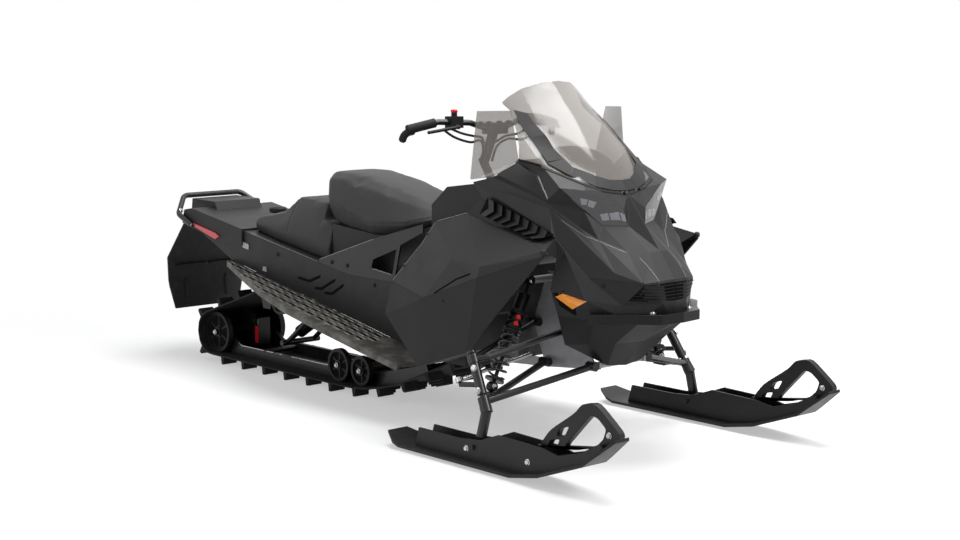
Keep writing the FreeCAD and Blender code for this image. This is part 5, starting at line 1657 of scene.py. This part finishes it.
@dataclass
class WheelWindows:
    """Dark plates of painted shade that stand for the openings between the spokes of the skid's wheels, by
    centre, radius and outer face.
    """

    wheels: tuple[tuple[float, float, float, float], ...]
    spokes: int = 6
    spoke_width: float = 9.0
    # Where a window starts and ends, as shares of the wheel's radius
    hub_share: float = 0.34
    rim_share: float = 0.78
    arc_steps: int = 4
    proud: float = 0.8
    sunk: float = 1.0

    def build(self, paints: Paintbox) -> None:
        """Add the painted-shade windows of all wheels, on both sides."""
        windows = bmesh.new()
        for along, height, radius, across in self.wheels:
            for side in (-1, 1):
                face = Vector((along, side * across, height)) * MILLIMETRE
                out = Vector((0, side, 0))
                for spoke in range(self.spokes):
                    self.window(windows, face, out, radius, spoke)
        show("wheel_window_shade", windows, "chassis", paints.get(Surface.SHADE))

    def window(self, shape: bmesh.types.BMesh, face: Vector, out: Vector, radius: float, spoke: int) -> None:
        """Add one plate of painted shade, for an opening between two spokes, to a mesh.

        Args:
            shape: The mesh that takes it.
            face: The middle of the wheel's outer face, in metres.
            out: The way out of the wheel.
            radius: The wheel's radius in millimetres.
            spoke: The spoke's number.
        """
        pitch = 2 * math.pi / self.spokes
        inner, outer = radius * self.hub_share, radius * self.rim_share
        arc = [(outer, 1 - 2 * step / self.arc_steps) for step in range(self.arc_steps + 1)]
        ring = []
        for reach, share in ((inner, 1), *arc, (inner, -1)):
            turn = pitch * spoke + (pitch / 2 - self.spoke_width / 2 / reach) * share
            ring.append(face + Vector((math.cos(turn) * reach, 0, math.sin(turn) * reach)) * MILLIMETRE)
        top = [place + out * (self.proud * MILLIMETRE) for place in ring]
        base = [place - out * (self.sunk * MILLIMETRE) for place in ring]
        loft(shape, [top, base])


@dataclass
class DashHump:
    """The dark instrument hump that stands under the screen."""

    middle: Place = (832.0, 0.0, 962.0)
    reach: Place = (112.0, 168.0, 74.0)
    # How much the dome falls towards the front, as a share of its length
    fall: float = 0.25
    turns: int = 28
    rings: int = 7

    def build(self, paints: Paintbox) -> None:
        """Make the upper half of a flattened dome."""
        shape = bmesh.new()
        rows = []
        for ring in range(self.rings):
            rise = ring / self.rings * math.pi / 2
            row = []
            for turn in range(self.turns):
                angle = 2 * math.pi * turn / self.turns
                along = self.reach[0] * math.cos(rise) * math.cos(angle)
                across = self.reach[1] * math.cos(rise) * math.sin(angle)
                height = self.reach[2] * math.sin(rise) - self.fall * along
                row.append((Vector(self.middle) + Vector((along, across, height))) * MILLIMETRE)
            rows.append(row)
        loft(shape, rows)
        show("dash_hump", shape, "chassis", paints.get(Surface.DARK_PANEL))


@dataclass
class Tube:
    """A bent round tube, hose or bar end, swept along a smoothed line."""

    name: str
    body: str
    finish: Surface
    lines: tuple[Line, ...]
    radius: float
    sides: int = 14
    steps: int = 8
    # An end's last ring, as shares of the radius: how far out it stands, and how wide it is
    end_reach: float = 0.45
    end_share: float = 0.6

    def build(self, paints: Paintbox) -> None:
        """Sweep every line and its mirrored twin, and show them as one piece."""
        shape = bmesh.new()
        for line in self.lines:
            self.sweep(shape, line)
            self.sweep(shape, mirrored(line))
        show(self.name, shape, self.body, paints.get(self.finish))

    def smooth(self, line: Line) -> list[Vector]:
        """Return the line in metres with a Catmull-Rom curve through its points."""
        ends = [Vector(place) * MILLIMETRE for place in (line[0], *line, line[-1])]
        fine = []
        for start in range(len(line) - 1):
            a, b, c, d = ends[start : start + 4]
            for step in range(self.steps):
                t = step / self.steps
                bend = (2 * a - 5 * b + 4 * c - d) * t * t
                twist = (3 * b - a - 3 * c + d) * t**3
                fine.append((2 * b + (c - a) * t + bend + twist) / 2)
        fine.append(ends[-1])
        return fine

    def sweep(self, shape: bmesh.types.BMesh, line: Line) -> None:
        """Add one tube with rounded ends to a mesh."""
        spine = self.smooth(line)
        thick = self.radius * MILLIMETRE
        up = (spine[1] - spine[0]).orthogonal().normalized()
        rings = []
        last = len(spine) - 1
        for number, spot in enumerate(spine):
            way = (spine[min(number + 1, last)] - spine[max(number - 1, 0)]).normalized()
            up = (up - way * up.dot(way)).normalized()
            across = way.cross(up)
            tip = way * (thick * self.end_reach)
            if number == 0:
                rings.append(self.ring(spot - tip, up, across, thick * self.end_share))
            rings.append(self.ring(spot, up, across, thick))
            if number == last:
                rings.append(self.ring(spot + tip, up, across, thick * self.end_share))
        loft(shape, rings)

    def ring(self, spot: Vector, up: Vector, across: Vector, thick: float) -> list[Vector]:
        """Return one ring of places round a spot."""
        turns = [2 * math.pi * turn / self.sides for turn in range(self.sides)]
        return [spot + (up * math.cos(turn) + across * math.sin(turn)) * thick for turn in turns]


# The carrier wheels and the rear idler: centre along and up, radius and outer face, in millimetres
WHEELS = ((-360.0, 106.0, 67.0, 150.0), (-215.0, 102.3, 60.0, 150.0), (-1240.0, 129.2, 89.0, 144.0))


@dataclass
class BoardTread:
    """The cleats and drain slots of the running boards, pressed in staggered rows; the slots are dark plates
    of painted shade.
    """

    start: float = -960.0
    end: float = 150.0
    pitch: float = 62.0
    rows: tuple[float, ...] = (238.0, 282.0, 326.0)
    # The boards' height at the middle of the machine, and how much they fall per millimetre forward
    height: float = 480.0
    fall: float = 0.18
    slot_half: Pair = (20.0, 8.0)
    lip_half: Pair = (22.0, 13.0)
    # How far a seat may lie from its row, and the least upward lean of a tread surface
    stray: float = 4.0
    least_lean: float = 0.8

    def build(self, hides: Hides, paints: Paintbox) -> None:
        """Add the slots as plates of painted shade, and their raised worn lips."""
        slots, lips = [], []
        count = int((self.end - self.start) / self.pitch)
        for row, across in enumerate(self.rows):
            for number in range(count):
                along = self.start + (number + 0.5 * (row % 2)) * self.pitch
                near = hides.seat("running_boards", (along, -across, self.height - along * self.fall))
                spot = near[0] / MILLIMETRE
                if abs(spot.y + across) > self.stray or near[1].z < self.least_lean:
                    continue
                x, y, z = spot
                long, wide = self.slot_half
                corners = ((-long, -wide), (long, -wide), (long, wide), (-long, wide))
                slots.append(tuple((x + a, y + b, z) for a, b in corners))
                long, wide = self.lip_half
                lips += [((x - long, y + b, z), (x + long, y + b, z)) for b in (-wide, wide)]
        for tread in (
            # Painted shade: near-black plates stand in the slots, where one would see through the board
            PlateSet("board_slot_shade", Surface.SHADE, "running_boards", tuple(slots), 0.5, 1.0, 0.2),
            StripSet("board_lips", Surface.BOARD_LIP, "running_boards", tuple(lips), 7, 2.5),
        ):
            tread.build(hides, paints)


TUBES = (
    Tube(
        "grip_hooks",
        "steering",
        Surface.GRIP,
        (((352, -350, 1088), (339, -366, 1082), (328, -373, 1070), (322, -376, 1054)),),
        radius=14,
    ),
    Tube(
        "bar_hoses",
        "steering",
        Surface.SEAL,
        (
            (
                *((378, -232, 1092), (402, -196, 1062), (414, -130, 1042)),
                *((402, -72, 1046), (380, -36, 1020), (366, -22, 964)),
            ),
            ((372, -205, 1098), (396, -160, 1076), (408, -112, 1064), (398, -60, 1056), (376, -30, 1034)),
        ),
        radius=4.5,
    ),
)


SEATS = (
    SoftSeat(
        node="rider_seat",
        name="rider_cushion",
        seam=((-470, 778), (-368, 764), (-136, 702), (70, 716), (205, 750)),
    ),
    SoftSeat(
        node="cargo_seat",
        name="cargo_cushion",
        inset_mm=6.0,
        cap_mm=18.0,
        tight=0.8,
        welts=(-690.0,),
    ),
)


LAMPS = (
    SoftBox("top_softbox", (0.4, 0.9, 5.0), (0, 0, 0.4), 3.4, 330.0),
    SoftBox("key_softbox", (4.2, 1.2, 3.8), (0.3, 0, 0.5), 1.8, 150.0),
    SoftBox("side_softbox", (-1.5, -5.0, 2.6), (-0.2, 0, 0.5), 2.4, 55.0),
)


def main() -> None:
    """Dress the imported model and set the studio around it."""
    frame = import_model()
    nodes = frame["nodes"]
    paints = Paintbox()
    PhotoCamera().build()
    Stage().build()
    for lamp in LAMPS:
        lamp.build()
    for seat in SEATS:
        seat.build(nodes, paints)
    NodeDresser(nodes, paints).build()
    hides = Hides(nodes)
    ShockTrim().build(paints)
    LouvreBank().build(paints)
    DashHump().build(paints)
    WheelWindows(WHEELS).build(paints)
    BoardTread().build(hides, paints)
    for detail in DETAILS:
        detail.build(hides, paints)
    for tube in TUBES:
        tube.build(paints)
    for side in ("right", "left"):
        SkiHandle(side).build(paints)
        for fasteners in side_fasteners(side):
            fasteners.build(hides, paints)
    bpy.context.scene.view_settings.view_transform = "Standard"


if __name__ == "__main__":
    logging.basicConfig(level=logging.INFO, format="%(name)s: %(message)s")
    main()
